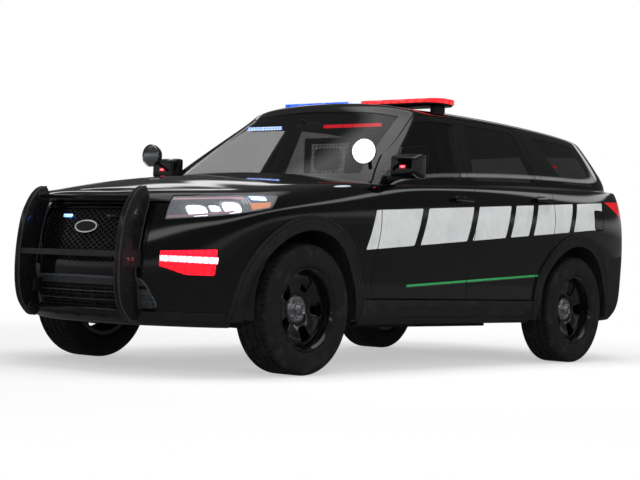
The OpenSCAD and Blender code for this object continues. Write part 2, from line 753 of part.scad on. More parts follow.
module partition() {
  color(steel) {
    block([-352, -340], [-660, 660], [320, 1100]);
    for (y = [-660, -20, 620]) block([-362, -330], [y, y + 40], [1100, 1520]);
    block([-362, -330], [-660, 660], [1520, 1560]);
  }
}
// ---- running gear ----
module engine() {
  color(steel) {
    block([1230, 2010], [-300, 300], [340, 880]);
    // mounts on the rails
    block([1500, 1620], [-350, 350], [340, 400]);
    // radiator
    block([2060, 2110], [-400, 400], [400, 860]);
    block([2000, 2070], [-40, 40], [560, 640]);
  }
}
pin_y = track / 2 - 80;       // steering axis
pin_r = 15;
lug_z = 118;                  // height of the steering lugs above and below the axle
module front_subframe() {
  color(steel) {
    both_sides() for (s = [-1, 1]) {
      translate([x_fa, 0, tyre_r + s * lug_z - 14]) difference() {
        union() {
          translate([-30, fy(440), 0]) cube([60, pin_y - fy(440), 28]);
          translate([0, pin_y, 0]) cylinder(r = 30, h = 28);
        }
        translate([0, pin_y, -1]) cylinder(r = pin_r + running, h = 30);
      }
    }
    both_sides() translate([x_fa - 60, fy(440), tyre_r - lug_z - 14])
      cube([120, 30, 2*lug_z + 28]);
    translate([x_fa - 60, -fy(470), tyre_r - lug_z - 14])
      cube([120, 2*fy(470), fz(300) - (tyre_r - lug_z - 14)]);
  }
}
module knuckle() {
  translate([x_fa, 0, tyre_r]) {
    translate([-42, pin_y - 26, -lug_z + 17]) cube([84, 62, 2*lug_z - 34]);
    translate([0, pin_y, -lug_z - 13]) cylinder(r = pin_r, h = 2*lug_z + 26);
    y_cylinder(spindle_r, pin_y, track / 2 + 18);
  }
}
module rear_subframe() {
  color(steel) {
    translate([x_ra - 50, -fy(560), tyre_r - 60]) cube([100, 2*fy(560), 70]);
    both_sides() translate([x_ra, 0, tyre_r]) {
      translate([-40, fy(540), -60]) cube([80, track / 2 - 50 - fy(540), 120]);
      y_cylinder(spindle_r, track / 2 - 60, track / 2 + 18);
    }
    both_sides() translate([x_ra - 50, fy(430), tyre_r]) cube([100, 40, fz(620) - tyre_r]);
  }
}
module wheel() {
  w = tyre_w - 26;
  rotate([-90, 0, 0]) {
    difference() {
      union() {
        // barrel with flanges
        rotate_extrude($fn = 96) polygon([
          [rim_r - 30, -w/2], [rim_r, -w/2], [rim_r, -w/2 + 8], [rim_r - 14, -w/2 + 12],
          [rim_r - 14, w/2 - 12], [rim_r, w/2 - 8], [rim_r, w/2], [rim_r - 12, w/2],
          [rim_r - 24, w/2 - 14], [rim_r - 26, -w/2 + 14]]);
        // disc
        rotate_extrude($fn = 96) polygon([
          [0, 10], [70, 10], [92, 26], [rim_r - 60, 44], [rim_r - 25, 34], [rim_r - 25, 46],
          [rim_r - 56, 58], [96, 40], [78, 26], [0, 26]]);
      }
      for (i = [0:4]) rotate([0, 0, i * 72 + 36]) translate([0, 0, -40]) linear_extrude(120)
        offset(16, $fn = 16) offset(-16, $fn = 16)
          polygon([[104, -26], [rim_r - 46, -54], [rim_r - 46, 54], [104, 26]]);
      translate([0, 0, -20]) cylinder(r = spindle_r + running, h = 60);
    }
    // hub with the bore for the spindle, closed by its cap
    difference() {
      translate([0, 0, -14]) cylinder(r = 66, h = 40);
      translate([0, 0, -20]) cylinder(r = spindle_r + running, h = 41);
    }
    translate([0, 0, 26]) cylinder(r1 = 70, r2 = 58, h = 14);
    for (i = [0:4]) rotate([0, 0, i * 72]) translate([44, 0, 38]) cylinder(r = 11, h = 16);
    // brake disc
    difference() {
      translate([0, 0, -34]) cylinder(r = 172, h = 20);
      translate([0, 0, -40]) cylinder(r = spindle_r + running, h = 40);
    }
  }
}
// Half profile of a tyre: depth under the tread and under the side wall.
tyre_side = [[110, 3], [80, 0], [44, 1], [20, 8], [7, 18], [0, 34]];
module tyre() {
  rotate([-90, 0, 0]) rotate_extrude($fn = 96) difference() {
    polygon(concat([[rim_r, -tyre_w / 2 + 14]], [for (s = [-1, 1]) each
      [for (p = s < 0 ? tyre_side : reversed(tyre_side)) [tyre_r - p[0], s * (tyre_w / 2 - p[1])]]],
      [[rim_r, tyre_w / 2 - 14]]));
    translate([rim_r - 1, -tyre_w / 2 + 30]) square([tyre_r - rim_r - 15, tyre_w - 60]);
  }
}
module at_wheel(x, side) {
  translate([x, side * track / 2, tyre_r]) mirror([0, side < 0 ? 1 : 0, 0]) children();
}
pipe_r = 28;
pipe_gap = 12;   // under the floor
pipe_z = fz(300) - pipe_gap - pipe_r;
module exhaust() {
  color("gray") {
    translate([fx(-2100), -fy(620), fz(420)]) rotate([0, 90, 90]) cylinder(r = 90, h = 2 * fy(300));
    translate([fx(-2100), -fy(200), pipe_z]) rotate([0, 90, 0])
      cylinder(r = pipe_r, h = fx(1300) - fx(-2100));
    translate([fx(-2100), -fy(200), pipe_z]) cylinder(r = pipe_r, h = fz(420) - pipe_z);
    translate([fx(1300), -fy(200), pipe_z]) cylinder(r = pipe_r, h = fz(340) - pipe_z);
  }
}

floor_pan();
body_sides();
roof_panel();
front_fenders();
front_bumper();
grille();
front_lamps();
push_bumper();
fixed_glass();
light_bar();
spotlights();
rear_bumper();
tail_lamps();
cladding();
dashboard();
front_seats();
rear_seat();
partition();
engine();
front_subframe();
rear_subframe();
exhaust();
hood();
door(front_door_outline, front_window);  // left_front_door
mirror([0, 1, 0]) door(front_door_outline, front_window);  // right_front_door
door(rear_door_outline, rear_window);  // left_rear_door
mirror([0, 1, 0]) door(rear_door_outline, rear_window);  // right_rear_door
door_glass(front_door_outline, front_window);  // left_front_glass
mirror([0, 1, 0]) door_glass(front_door_outline, front_window);  // right_front_glass
door_glass(rear_door_outline, rear_window);  // left_rear_glass
mirror([0, 1, 0]) door_glass(rear_door_outline, rear_window);  // right_rear_glass
side_mirror();  // left_mirror
mirror([0, 1, 0]) side_mirror();  // right_mirror
liftgate();
rear_glass();
fuel_door();
steering_wheel();
color(steel) knuckle();  // left_knuckle
color(steel) mirror([0, 1, 0]) knuckle();  // right_knuckle
color(matte) at_wheel(x_fa, 1) wheel();  // front_left_wheel
color(matte) at_wheel(x_fa, -1) wheel();  // front_right_wheel
color(matte) at_wheel(x_ra, 1) wheel();  // rear_left_wheel
color(matte) at_wheel(x_ra, -1) wheel();  // rear_right_wheel
color([0.06, 0.06, 0.06]) at_wheel(x_fa, 1) tyre();  // front_left_tyre
color([0.06, 0.06, 0.06]) at_wheel(x_fa, -1) tyre();  // front_right_tyre
color([0.06, 0.06, 0.06]) at_wheel(x_ra, 1) tyre();  // rear_left_tyre
color([0.06, 0.06, 0.06]) at_wheel(x_ra, -1) tyre();  // rear_right_tyre
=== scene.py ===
"""Looks of a police patrol car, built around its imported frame.

The body is two closed B-spline skins, below and above the belt line. Every panel is
the wall between a skin and its inset copy, cut where the real panels meet, and takes
its smooth shading from the uncut skin. Lamps, wheels, equipment and cabin are classes
of their own. Sizes are millimetres in the design frame (front axle at x = 1525), and
mm() carries them to the frame's metres.
"""

from __future__ import annotations

import logging
import math
from dataclasses import dataclass, field
from enum import Enum

import bmesh
import bpy
import numpy as np
from mathutils import Matrix, Vector
from mathutils.bvhtree import BVHTree
from mathutils.interpolate import poly_3d_calc


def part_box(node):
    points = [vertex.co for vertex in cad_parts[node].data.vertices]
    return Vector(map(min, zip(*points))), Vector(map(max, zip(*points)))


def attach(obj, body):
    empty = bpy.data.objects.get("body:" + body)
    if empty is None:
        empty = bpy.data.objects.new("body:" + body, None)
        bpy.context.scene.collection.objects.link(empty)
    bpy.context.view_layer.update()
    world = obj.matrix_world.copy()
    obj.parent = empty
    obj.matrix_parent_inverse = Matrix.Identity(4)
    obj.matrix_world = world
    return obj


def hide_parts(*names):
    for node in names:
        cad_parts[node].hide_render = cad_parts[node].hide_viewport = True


LOG = logging.getLogger("patrol_car")
Mesh = bpy.types.Mesh
Outline = list[tuple[float, float]]

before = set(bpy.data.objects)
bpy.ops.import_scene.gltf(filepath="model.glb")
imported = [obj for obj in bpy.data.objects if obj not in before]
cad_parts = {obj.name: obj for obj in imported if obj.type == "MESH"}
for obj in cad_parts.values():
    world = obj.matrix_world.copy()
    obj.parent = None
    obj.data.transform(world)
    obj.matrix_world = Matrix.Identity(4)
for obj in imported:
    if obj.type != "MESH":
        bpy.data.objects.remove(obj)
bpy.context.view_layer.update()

# Driving places, from the frame.
WHEEL_LOW, WHEEL_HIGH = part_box("front_left_tyre")
REAR_LOW, REAR_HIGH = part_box("rear_left_tyre")
AXLE_Z = (WHEEL_LOW.z + WHEEL_HIGH.z) / 2
FRONT_AXLE_X = (WHEEL_LOW.x + WHEEL_HIGH.x) / 2
REAR_AXLE_X = (REAR_LOW.x + REAR_HIGH.x) / 2
TRACK_Y = (WHEEL_LOW.y + WHEEL_HIGH.y) / 2
SHIFT = FRONT_AXLE_X - 1.525  # design frame to row frame, along X
SIDES = {"left": 1, "right": -1}


def mm(x: float, y: float, z: float) -> Vector:
    """A design-frame point in the frame's metres."""
    return Vector((x / 1000 + SHIFT, y / 1000, z / 1000))


# ---------------------------------------------------------------- meshes


def new_mesh(bm: bmesh.types.BMesh, smooth: bool = False) -> Mesh:
    """Turns a bmesh into a mesh and frees it."""
    for face in bm.faces:
        face.smooth = smooth
    mesh = bpy.data.meshes.new("shape")
    bm.to_mesh(mesh)
    bm.free()
    return mesh


def place(name: str, mesh: Mesh, body: str, finish: "Finish", *nodes: str) -> bpy.types.Object:
    """Adds a finished piece that rides a body.

    Args:
        name: name of the piece.
        mesh: its mesh, in the row frame.
        body: the CAD body that carries it.
        finish: its finish; finishes already in the mesh's slots are kept.
        nodes: CAD nodes that it stands for.

    Returns:
        The object.
    """
    piece = bpy.data.objects.new(name, mesh)
    mesh.name = name
    bpy.context.scene.collection.objects.link(piece)
    if not any(mesh.materials):
        mesh.materials.clear()
        mesh.materials.append(finish.material())
    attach(piece, body)
    if nodes:
        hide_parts(*nodes)
    LOG.info("%s: %d faces on %s", name, len(mesh.polygons), body)
    return piece


def evaluated(piece: bpy.types.Object) -> Mesh:
    """The mesh of an object with its modifiers applied; the object is removed."""
    graph = bpy.context.evaluated_depsgraph_get()
    mesh = bpy.data.meshes.new_from_object(piece.evaluated_get(graph))
    bpy.data.objects.remove(piece)
    return mesh


def scratch(mesh: Mesh) -> bpy.types.Object:
    """A temporary object that holds a mesh."""
    piece = bpy.data.objects.new("scratch", mesh)
    bpy.context.scene.collection.objects.link(piece)
    return piece


def combined(base: Mesh, *steps: tuple[str, list]) -> Mesh:
    """Applies booleans to a copy of a closed mesh.

    Args:
        base: the mesh.
        steps: in their order, an operation and the closed meshes that it uses.

    Returns:
        A new closed mesh.
    """
    piece, helpers = scratch(base.copy()), []
    for operation, tools in steps:
        for tool in tools:
            helpers.append(scratch(tool))
            step = piece.modifiers.new("step", "BOOLEAN")
            step.operation, step.solver, step.object = operation, "MANIFOLD", helpers[-1]
    mesh = evaluated(piece)
    for helper in helpers:
        bpy.data.objects.remove(helper)
    return mesh


def carve(base: Mesh, keep: list[Mesh], cut: list[Mesh]) -> Mesh:
    """What lies inside the base and every keep mesh, and outside every cut mesh."""
    return combined(base, ("INTERSECT", keep), ("DIFFERENCE", cut))


def joined(*meshes: Mesh) -> Mesh:
    """One mesh of several that don't touch, with their material slots kept."""
    bm = bmesh.new()
    materials = []
    for mesh in meshes:
        before = len(bm.faces)
        bm.from_mesh(mesh)
        bm.faces.ensure_lookup_table()
        for face in bm.faces[before:]:
            face.material_index += len(materials)
        materials += list(mesh.materials)
    result = bpy.data.meshes.new("shape")
    bm.to_mesh(result)
    bm.free()
    for material in materials:
        result.materials.append(material)
    return result


def united(first: Mesh, *others: Mesh) -> Mesh:
    """The union of closed meshes that cut through each other."""
    return combined(first, ("UNION", list(others)))


def moved(mesh: Mesh, matrix: Matrix) -> Mesh:
    """A copy of a mesh with a transform applied, its faces kept outwards."""
    copy = mesh.copy()
    copy.transform(matrix)
    if matrix.determinant() < 0:
        copy.flip_normals()
    return copy


def mirrored(mesh: Mesh) -> Mesh:
    """The mirror image on the other side of the car."""
    return moved(mesh, Matrix.Scale(-1, 4, (0, 1, 0)))


def sided(mesh: Mesh, side: int) -> Mesh:
    """The left mesh for side 1, its mirror image for side -1."""
    return mesh if side > 0 else mirrored(mesh)


def both(mesh: Mesh) -> Mesh:
    """The left mesh and its mirror image as one."""
    return joined(mesh, mirrored(mesh))


def finished(mesh: Mesh, finish: "Finish") -> Mesh:
    """Gives a mesh its material, so that it keeps it when it is joined to others."""
    mesh.materials.clear()
    mesh.materials.append(finish.material())
    return mesh


def dressed(meshes: list[Mesh], finish: "Finish") -> list[Mesh]:
    """Gives every mesh of a list the same material."""
    return [finished(m, finish) for m in meshes]


def box(low: Vector, high: Vector, bevel: float = 0.0, segments: int = 2) -> Mesh:
    """A block between two corners, with rounded edges."""
    bm = bmesh.new()
    bmesh.ops.create_cube(bm, size=1)
    bmesh.ops.scale(bm, vec=high - low, verts=bm.verts)
    bmesh.ops.translate(bm, vec=(high + low) / 2, verts=bm.verts)
    if bevel:
        bmesh.ops.bevel(bm, geom=bm.edges[:], offset=bevel, segments=segments,
                        affect="EDGES", profile=0.5, material=-1)
    return new_mesh(bm)


def rod(start: Vector, end: Vector, radius: float, end_radius: float | None = None,
        segments: int = 24, bevel: float = 0.0) -> Mesh:
    """A round bar or cone between two points."""
    bm = bmesh.new()
    axis = end - start
    bmesh.ops.create_cone(bm, cap_ends=True, segments=segments, radius1=radius,
                          radius2=radius if end_radius is None else end_radius, depth=axis.length)
    if bevel:
        rims = [e for e in bm.edges if abs(e.verts[0].co.z - e.verts[1].co.z) < 1e-6]
        bmesh.ops.bevel(bm, geom=rims, offset=bevel, segments=3, affect="EDGES", profile=0.5, material=-1)
    turn = Vector((0, 0, 1)).rotation_difference(axis).to_matrix().to_4x4()
    bmesh.ops.transform(bm, matrix=Matrix.Translation((start + end) / 2) @ turn, verts=bm.verts)
    return new_mesh(bm, smooth=True)


def ball(centre: Vector, radii: Vector, segments: int = 24) -> Mesh:
    """An ellipsoid."""
    bm = bmesh.new()
    bmesh.ops.create_uvsphere(bm, u_segments=segments, v_segments=segments // 2, radius=1)
    bmesh.ops.scale(bm, vec=radii, verts=bm.verts)
    bmesh.ops.translate(bm, vec=centre, verts=bm.verts)
    return new_mesh(bm, smooth=True)


def lathe(profile: Outline, steps: int = 96, smooth: bool = True) -> Mesh:
    """Spins a closed profile of (radius, y) points, in metres, about the Y axis."""
    bm = bmesh.new()
    verts = [bm.verts.new((r, y, 0)) for r, y in profile]
    edges = [bm.edges.new((a, b)) for a, b in zip(verts, verts[1:] + verts[:1])]
    bmesh.ops.spin(bm, geom=verts + edges, cent=(0, 0, 0), axis=(0, 1, 0),
                   angle=math.tau, steps=steps, use_merge=True)
    bmesh.ops.remove_doubles(bm, verts=bm.verts, dist=1e-6)
    bmesh.ops.recalc_face_normals(bm, faces=bm.faces)
    return new_mesh(bm, smooth)


def turned(profile: Outline, steps: int = 96) -> Mesh:
    """Spins a closed profile of (radius, y) points, in millimetres."""
    return lathe([(r / 1000, y / 1000) for r, y in profile], steps)


def extruded(points: list[Vector], along: Vector) -> Mesh:
    """A prism: a flat face through the points, pushed along a vector."""
    bm = bmesh.new()
    face = bm.faces.new([bm.verts.new(p) for p in points])
    pushed = bmesh.ops.extrude_face_region(bm, geom=[face])["geom"]
    bmesh.ops.translate(bm, vec=along, verts=[g for g in pushed if isinstance(g, bmesh.types.BMVert)])
    bmesh.ops.recalc_face_normals(bm, faces=bm.faces)
    return new_mesh(bm)


def tube(points: list[Vector], radius: float, segments: int = 12) -> Mesh:
    """A round tube through points, with mitred joints."""
    curve = bpy.data.curves.new("tube", "CURVE")
    curve.dimensions, curve.bevel_depth, curve.bevel_resolution = "3D", radius, segments // 4
    curve.use_fill_caps = True
    line = curve.splines.new("POLY")
    line.points.add(len(points) - 1)
    for point, place_at in zip(line.points, points):
        point.co = (*place_at, 1)
    mesh = evaluated(scratch(curve))
    for face in mesh.polygons:
        face.use_smooth = True
    return mesh


def edge_angle_smooth(mesh: Mesh, degrees: float = 35) -> Mesh:
    """Smooth shading with edges over an angle kept sharp."""
    bm = bmesh.new()
    bm.from_mesh(mesh)
    for face in bm.faces:
        face.smooth = True
    for edge in bm.edges:
        edge.smooth = len(edge.link_faces) == 2 and edge.calc_face_angle(0) < math.radians(degrees)
    bm.to_mesh(mesh)
    bm.free()
    return mesh


def beveled(mesh: Mesh, width: float, segments: int = 2, degrees: float = 40) -> Mesh:
    """A copy with its sharp edges rounded."""
    bm = bmesh.new()
    bm.from_mesh(mesh)
    bmesh.ops.dissolve_limit(bm, angle_limit=math.radians(1), verts=bm.verts, edges=bm.edges)
    sharp = [e for e in bm.edges if len(e.link_faces) == 2 and e.calc_face_angle(0) > math.radians(degrees)]
    bmesh.ops.bevel(bm, geom=sharp, offset=width, segments=segments, affect="EDGES",
                    profile=0.5, material=-1, clamp_overlap=True)
    result = bpy.data.meshes.new("shape")
    bm.to_mesh(result)
    bm.free()
    return edge_angle_smooth(result)


# ---------------------------------------------------------------- outlines


def mirror_outline(half: Outline, first: bool) -> Outline:
    """A half outline and its mirror image, across the first coordinate or the second."""
    back = [(-a, b) if first else (a, -b) for a, b in reversed(half)]
    return half + [p for p in back if p not in half]


def grown(outline: Outline, by: float) -> Outline:
    """An outline moved outwards by a distance, with mitred corners."""
    points = [Vector(p) for p in outline]
    area = sum(a.x * b.y - b.x * a.y for a, b in zip(points, points[1:] + points[:1]))
    sign, result = math.copysign(1, area), []
    for before, here, after in zip(points[-1:] + points[:-1], points, points[1:] + points[:1]):
        n1, n2 = [Vector((d.y, -d.x)).normalized() * sign for d in (here - before, after - here)]
        mitre = n1 + n2
        result.append(tuple(here + mitre * (by / max(0.35, 1 + n1.dot(n2)))))
    return result


def rounded(outline: Outline, radius: float, steps: int = 5) -> Outline:
    """An outline with its corners rounded by arcs."""
    points, result = [Vector(p) for p in outline], []
    for before, here, after in zip(points[-1:] + points[:-1], points, points[1:] + points[:1]):
        to_before, to_after = before - here, after - here
        reach = min(radius, to_before.length * 0.45, to_after.length * 0.45)
        start, end = here + to_before.normalized() * reach, here + to_after.normalized() * reach
        for k in range(steps + 1):
            t = k / steps
            result.append(tuple(start * (1 - t) ** 2 + here * (2 * t * (1 - t)) + end * t ** 2))
    return result


LEAN = 0.4  # how far a door seam leans forward as it goes inboard
FAR = 1.4


def skin_y(z: float) -> float:
    """Half width of the body side at a height, in design millimetres."""
    return 980 if z < 1172 else 980 - (z - 1100) * 0.5


def side_prism(outline: Outline, grow: float = 0, lean: float = LEAN, inner: float = 380) -> Mesh:
    """The space through the left side of the body under a side outline.

    Args:
        outline: (x, z) points on the skin.
        grow: how far the outline is moved outwards.
        lean: forward shift for each unit inboard.
        inner: y at which the space ends.

    Returns:
        A closed mesh.
    """
    points = [mm(x + lean * (skin_y(z) - FAR * 1000), FAR * 1000, z) for x, z in grown(outline, grow)]
    depth = FAR - inner / 1000
    return extruded(points, Vector((lean * depth, -depth, 0)))


def front_prism(outline: Outline, x0: float = 2000, x1: float = 2700, grow: float = 0) -> Mesh:
    """The space from x0 to x1, or over the nose, behind an outline of (y, z) points."""
    return extruded([mm(x0, y, z) for y, z in grown(outline, grow)], Vector(((x1 - x0) / 1000, 0, 0)))


def plan_prism(outline: Outline, z0: float, grow: float = 0) -> Mesh:
    """The space above z0 under an outline of (x, y) points."""
    return extruded([mm(x, y, z0) for x, y in grown(outline, grow)], Vector((0, 0, FAR)))


def both_prisms(outline: Outline, grow: float = 0, lean: float = LEAN, inner: float = 380) -> list:
    """A side prism on each side of the car."""
    left = side_prism(outline, grow, lean, inner)
    return [left, mirrored(left)]


def block(x: tuple, y: tuple, z: tuple, bevel: float = 0) -> Mesh:
    """A block between design-frame limits."""
    return box(mm(x[0], y[0], z[0]), mm(x[1], y[1], z[1]), bevel / 1000)


def flanks(x: tuple, y: tuple, z: tuple) -> Mesh:
    """A block on the left side of the car and one like it on the right."""
    return united(block(x, y, z), block(x, (-y[1], -y[0]), z))


def wheel_spaces(radius: float) -> list:
    """Round spaces through the body over both axles."""
    return [rod(Vector((x, -FAR, AXLE_Z)), Vector((x, FAR, AXLE_Z)), radius / 1000, segments=128)
            for x in (FRONT_AXLE_X, REAR_AXLE_X)]


DOOR_Z, FENDER_X = 446, 884
B_LINE = [(-268, 1656), (-152, 1225), (-142, 1100), (-142, DOOR_Z)]
C_LINE = [(-1010, 1652), (-1046, 1560), (-1140, 1270), (-1152, 1000), (-1130, 830),
          (-1060, 720), (-985, 600), (-952, 500), (-946, DOOR_Z)]
FRONT_DOOR = [(FENDER_X, DOOR_Z), (FENDER_X, 1060), (878, 1130), (856, 1172), (196, 1640),
              (100, 1650)] + B_LINE
REAR_DOOR = B_LINE[::-1] + [(-700, 1660)] + C_LINE
FRONT_WINDOW = rounded([(776, 1204), (238, 1590), (60, 1610), (-192, 1612), (-80, 1230), (400, 1214)], 24)
REAR_WINDOW = rounded([(-222, 1236), (-328, 1616), (-640, 1622), (-940, 1614), (-1070, 1272), (-700, 1256)], 30)
QUARTER_WINDOW = rounded([(-1206, 1600), (-1446, 1290), (-1985, 1300), (-1900, 1580), (-1560, 1600)], 34)
HEADLAMP = rounded([(1785, 1024), (1860, 948), (2090, 900), (2318, 858), (2356, 862), (2426, 985),
                    (2297, 990), (2060, 1012), (1900, 1026)], 18)
LAMP_POD = rounded([(2136, 712), (2146, 556), (2250, 556), (2336, 610), (2440, 624), (2440, 680)], 14)
TAIL_LAMP = rounded([(-1940, 1182), (-2240, 1196), (-2700, 1176), (-2700, 975), (-2420, 990),
                     (-2240, 1080), (-2060, 1140)], 16)
BUMPER_SEAM = [(1990, 200), (1985, 640), (1900, 800), (1900, 956), (2700, 956), (2700, 200)]
REAR_BUMPER_SEAM = [(-1960, 200), (-1985, 560), (-2020, 760), (-2330, 790), (-2800, 790), (-2800, 200)]
HOOD_SIDE = [(972, 748), (1060, 778), (1400, 774), (1800, 744), (2060, 690), (2200, 640), (2600, 600)]
HOOD_PLAN = mirror_outline([(1146, 0), (1126, 330), (1062, 600)] + HOOD_SIDE, False)
GRILLE = rounded(mirror_outline([(0, 940), (400, 940), (448, 860), (430, 740), (384, 640), (350, 600),
                                 (0, 596)], True), 26)
INTAKE = rounded(mirror_outline([(0, 540), (440, 536), (478, 500), (520, 400), (500, 350), (0, 340)], True), 20)
WINDSHIELD = mirror_outline([(0, 1196), (420, 1198), (780, 1216), (738, 1330), (640, 1625),
                             (480, 1650), (0, 1668)], True)
GATE = mirror_outline([(0, 730), (690, 730), (712, 1000), (708, 1290), (612, 1570), (600, 1720),
                       (0, 1720)], True)
GATE_WINDOW = rounded(mirror_outline([(0, 1300), (640, 1312), (560, 1540), (0, 1560)], True), 40)
GATE_X = -2140
ROOF = mirror_outline([(250, 0), (240, 300), (200, 560), (-300, 610), (-1500, 606), (-2060, 570),
                       (GATE_X, 520), (GATE_X, 0)], False)
FUEL_CAP = rounded([(-1868, 972), (-1732, 972), (-1732, 1108), (-1868, 1108)], 26)
SEAM = 5  # gap between panels


# ---------------------------------------------------------------- skins


def spline(points: np.ndarray, steps: int) -> np.ndarray:
    """Samples of a uniform cubic B-spline along the first axis."""
    t = np.linspace(0, 1, steps, endpoint=False)
    basis = np.stack([(1 - t) ** 3, 3 * t ** 3 - 6 * t ** 2 + 4, -3 * t ** 3 + 3 * t ** 2 + 3 * t + 1, t ** 3], 1) / 6
    spans = [np.einsum("sk,k...->s...", basis, points[i:i + 4]) for i in range(len(points) - 3)]
    return np.concatenate(spans + [((points[-3] + 4 * points[-2] + points[-1]) / 6)[None]])


@dataclass
class Skins:
    """The two closed skins of the body and the walls between their inset copies.

    The cage of the lower skin is a plan outline and ten lines round the body, each
    with heights and insets by station. The greenhouse's cage has a point at the belt
    and one at the roof's edge for each station.
    """

    steps_along: int = 6
    steps_up: int = 5
    deck_steps: int = 28
    bulge: float = 8
    tuck: float = -120
    plan: Outline = field(default_factory=lambda: [
        (2440, 0), (2428, 300), (2322, 590), (2160, 850), (1985, 950), (1780, 984), (1525, 991),
        (1150, 991), (860, 991), (600, 991), (200, 991), (-300, 991), (-800, 991), (-1200, 992),
        (-1500, 992), (-1900, 982), (-2250, 942), (-2470, 838), (-2585, 610), (-2619, 300),
        (-2626, 0)])
    lines: list = field(default_factory=lambda: [
        (((0, 262), (4, 272), (6, 285), (15, 290), (20, 330)), ((0, 150), (3, 120), (5, 100), (15, 100), (20, 130))),
        (((0, 330), (4, 340), (15, 345), (20, 390)), ((0, 70), (3, 60), (5, 62), (15, 60), (20, 50))),
        (((0, 430), (4, 430), (15, 440), (20, 470)), ((0, 10), (3, 22), (5, 46), (15, 40), (20, 6))),
        (((0, 560), (4, 560), (15, 580), (20, 600)),
         ((0, 0), (3, 12), (5, 44), (7, 60), (13, 56), (15, 34), (20, 0))),
        (((0, 690), (4, 700), (15, 730), (20, 740)),
         ((0, 14), (3, 14), (5, 20), (8, 30), (13, 24), (15, 16), (20, 14))),
        (((0, 830), (4, 840), (15, 930), (20, 880)), ((0, 66), (3, 20), (5, 2), (15, 0), (17, 20), (20, 80))),
        (((0, 940), (4, 950), (7, 1000), (15, 1120), (20, 1080)),
         ((0, 100), (3, 46), (5, 2), (15, 10), (17, 40), (20, 110))),
        (((0, 1000), (4, 1016), (7, 1090), (9, 1146), (11, 1196), (15, 1254), (17, 1262), (20, 1250)),
         ((0, 128), (3, 92), (5, 50), (7, 26), (10, 22), (15, 66), (17, 90), (20, 150))),
        (((0, 1018), (4, 1040), (6, 1090), (7, 1132), (9, 1174), (11, 1222), (15, 1280), (17, 1288), (20, 1276)),
         ((0, 168), (3, 140), (5, 96), (7, 50), (9, 40), (10, 44), (11, 52), (15, 84), (17, 120), (20, 176))),
        (((0, 1030), (4, 1052), (6, 1106), (7, 1146), (8, 1166), (9, 1080), (11, 1100), (15, 1160), (20, 1160)),
         ((0, 230), (3, 210), (5, 165), (7, 130), (8, 120), (9, 150), (15, 190), (17, 220), (20, 290)))])
    # how far each line moves in and down in an inset copy, as shares of the inset
    inward: tuple = (1, 1, 1, 1, 1, 1, 1, 1, 0.3, -0.5)
    downward: tuple = (0, 0, 0, 0, 0, 0, 0, 1, 1, 1.2)
    belt: list = field(default_factory=lambda: [
        (1128, 0, 1172), (1108, 330, 1172), (1044, 600, 1170), (960, 745, 1168), (898, 824, 1166),
        (858, 910, 1166), (770, 944, 1170), (560, 944, 1180), (200, 931, 1202), (-150, 919, 1220),
        (-700, 905, 1246), (-1200, 896, 1264), (-1650, 886, 1278), (-2010, 868, 1288),
        (-2210, 812, 1292), (-2340, 690, 1290), (-2420, 480, 1284), (-2452, 240, 1280), (-2458, 0, 1278)])
    eaves: list = field(default_factory=lambda: [
        (336, 0, 1684), (328, 280, 1678), (302, 500, 1664), (266, 606, 1652), (236, 672, 1640),
        (206, 704, 1636), (130, 712, 1636), (0, 714, 1640), (-180, 714, 1646), (-340, 712, 1648),
        (-800, 710, 1648), (-1200, 706, 1640), (-1600, 698, 1626), (-1900, 684, 1610),
        (-2060, 650, 1598), (-2146, 580, 1594), (-2200, 430, 1596), (-2228, 210, 1602), (-2232, 0, 1604)])
    made: dict = field(default_factory=dict)

    def _closed(self, rows: list, rise: float, half_width: float) -> Mesh:
        """A closed skin: rows of control points, sampled, mirrored and decked over."""
        cage = np.array(rows, float)
        swap = np.array([1, -1, 1])
        cage = np.concatenate([cage[:, 1:2] * swap, cage, cage[:, -2:-1] * swap], 1)
        sides = spline(cage.transpose(1, 0, 2), self.steps_along)
        columns = np.concatenate([2 * sides[:, :1] - sides[:, 1:2], sides, 2 * sides[:, -1:] - sides[:, -2:-1]], 1)
        sides = spline(columns.transpose(1, 0, 2), self.steps_up).transpose(1, 0, 2)
        top = sides[:, -1]
        share = 1 - 2 * np.arange(1, self.deck_steps) / self.deck_steps
        deck = np.repeat(top[:, None], len(share), 1)
        deck[:, :, 1] = top[:, 1:2] * share
        deck[:, :, 2] += rise * (top[:, 1:2] ** 2 - deck[:, :, 1] ** 2) / half_width ** 2
        ring = np.concatenate([sides, deck, sides[:, ::-1] * swap, sides[:, :1]], 1)
        along, around = ring.shape[0] - 1, ring.shape[1] - 1
        bm = bmesh.new()
        bmesh.ops.create_grid(bm, x_segments=along, y_segments=around, size=0.5)
        for vert in bm.verts:
            at = ring[round((vert.co.x + 0.5) * along), round((vert.co.y + 0.5) * around)]
            vert.co = mm(*at)
        bmesh.ops.remove_doubles(bm, verts=bm.verts, dist=1e-5)
        bmesh.ops.dissolve_degenerate(bm, edges=bm.edges, dist=1e-6)
        bmesh.ops.recalc_face_normals(bm, faces=bm.faces)
        if bm.calc_volume(signed=True) < 0:
            bmesh.ops.reverse_faces(bm, faces=bm.faces)
        return new_mesh(bm, smooth=True)

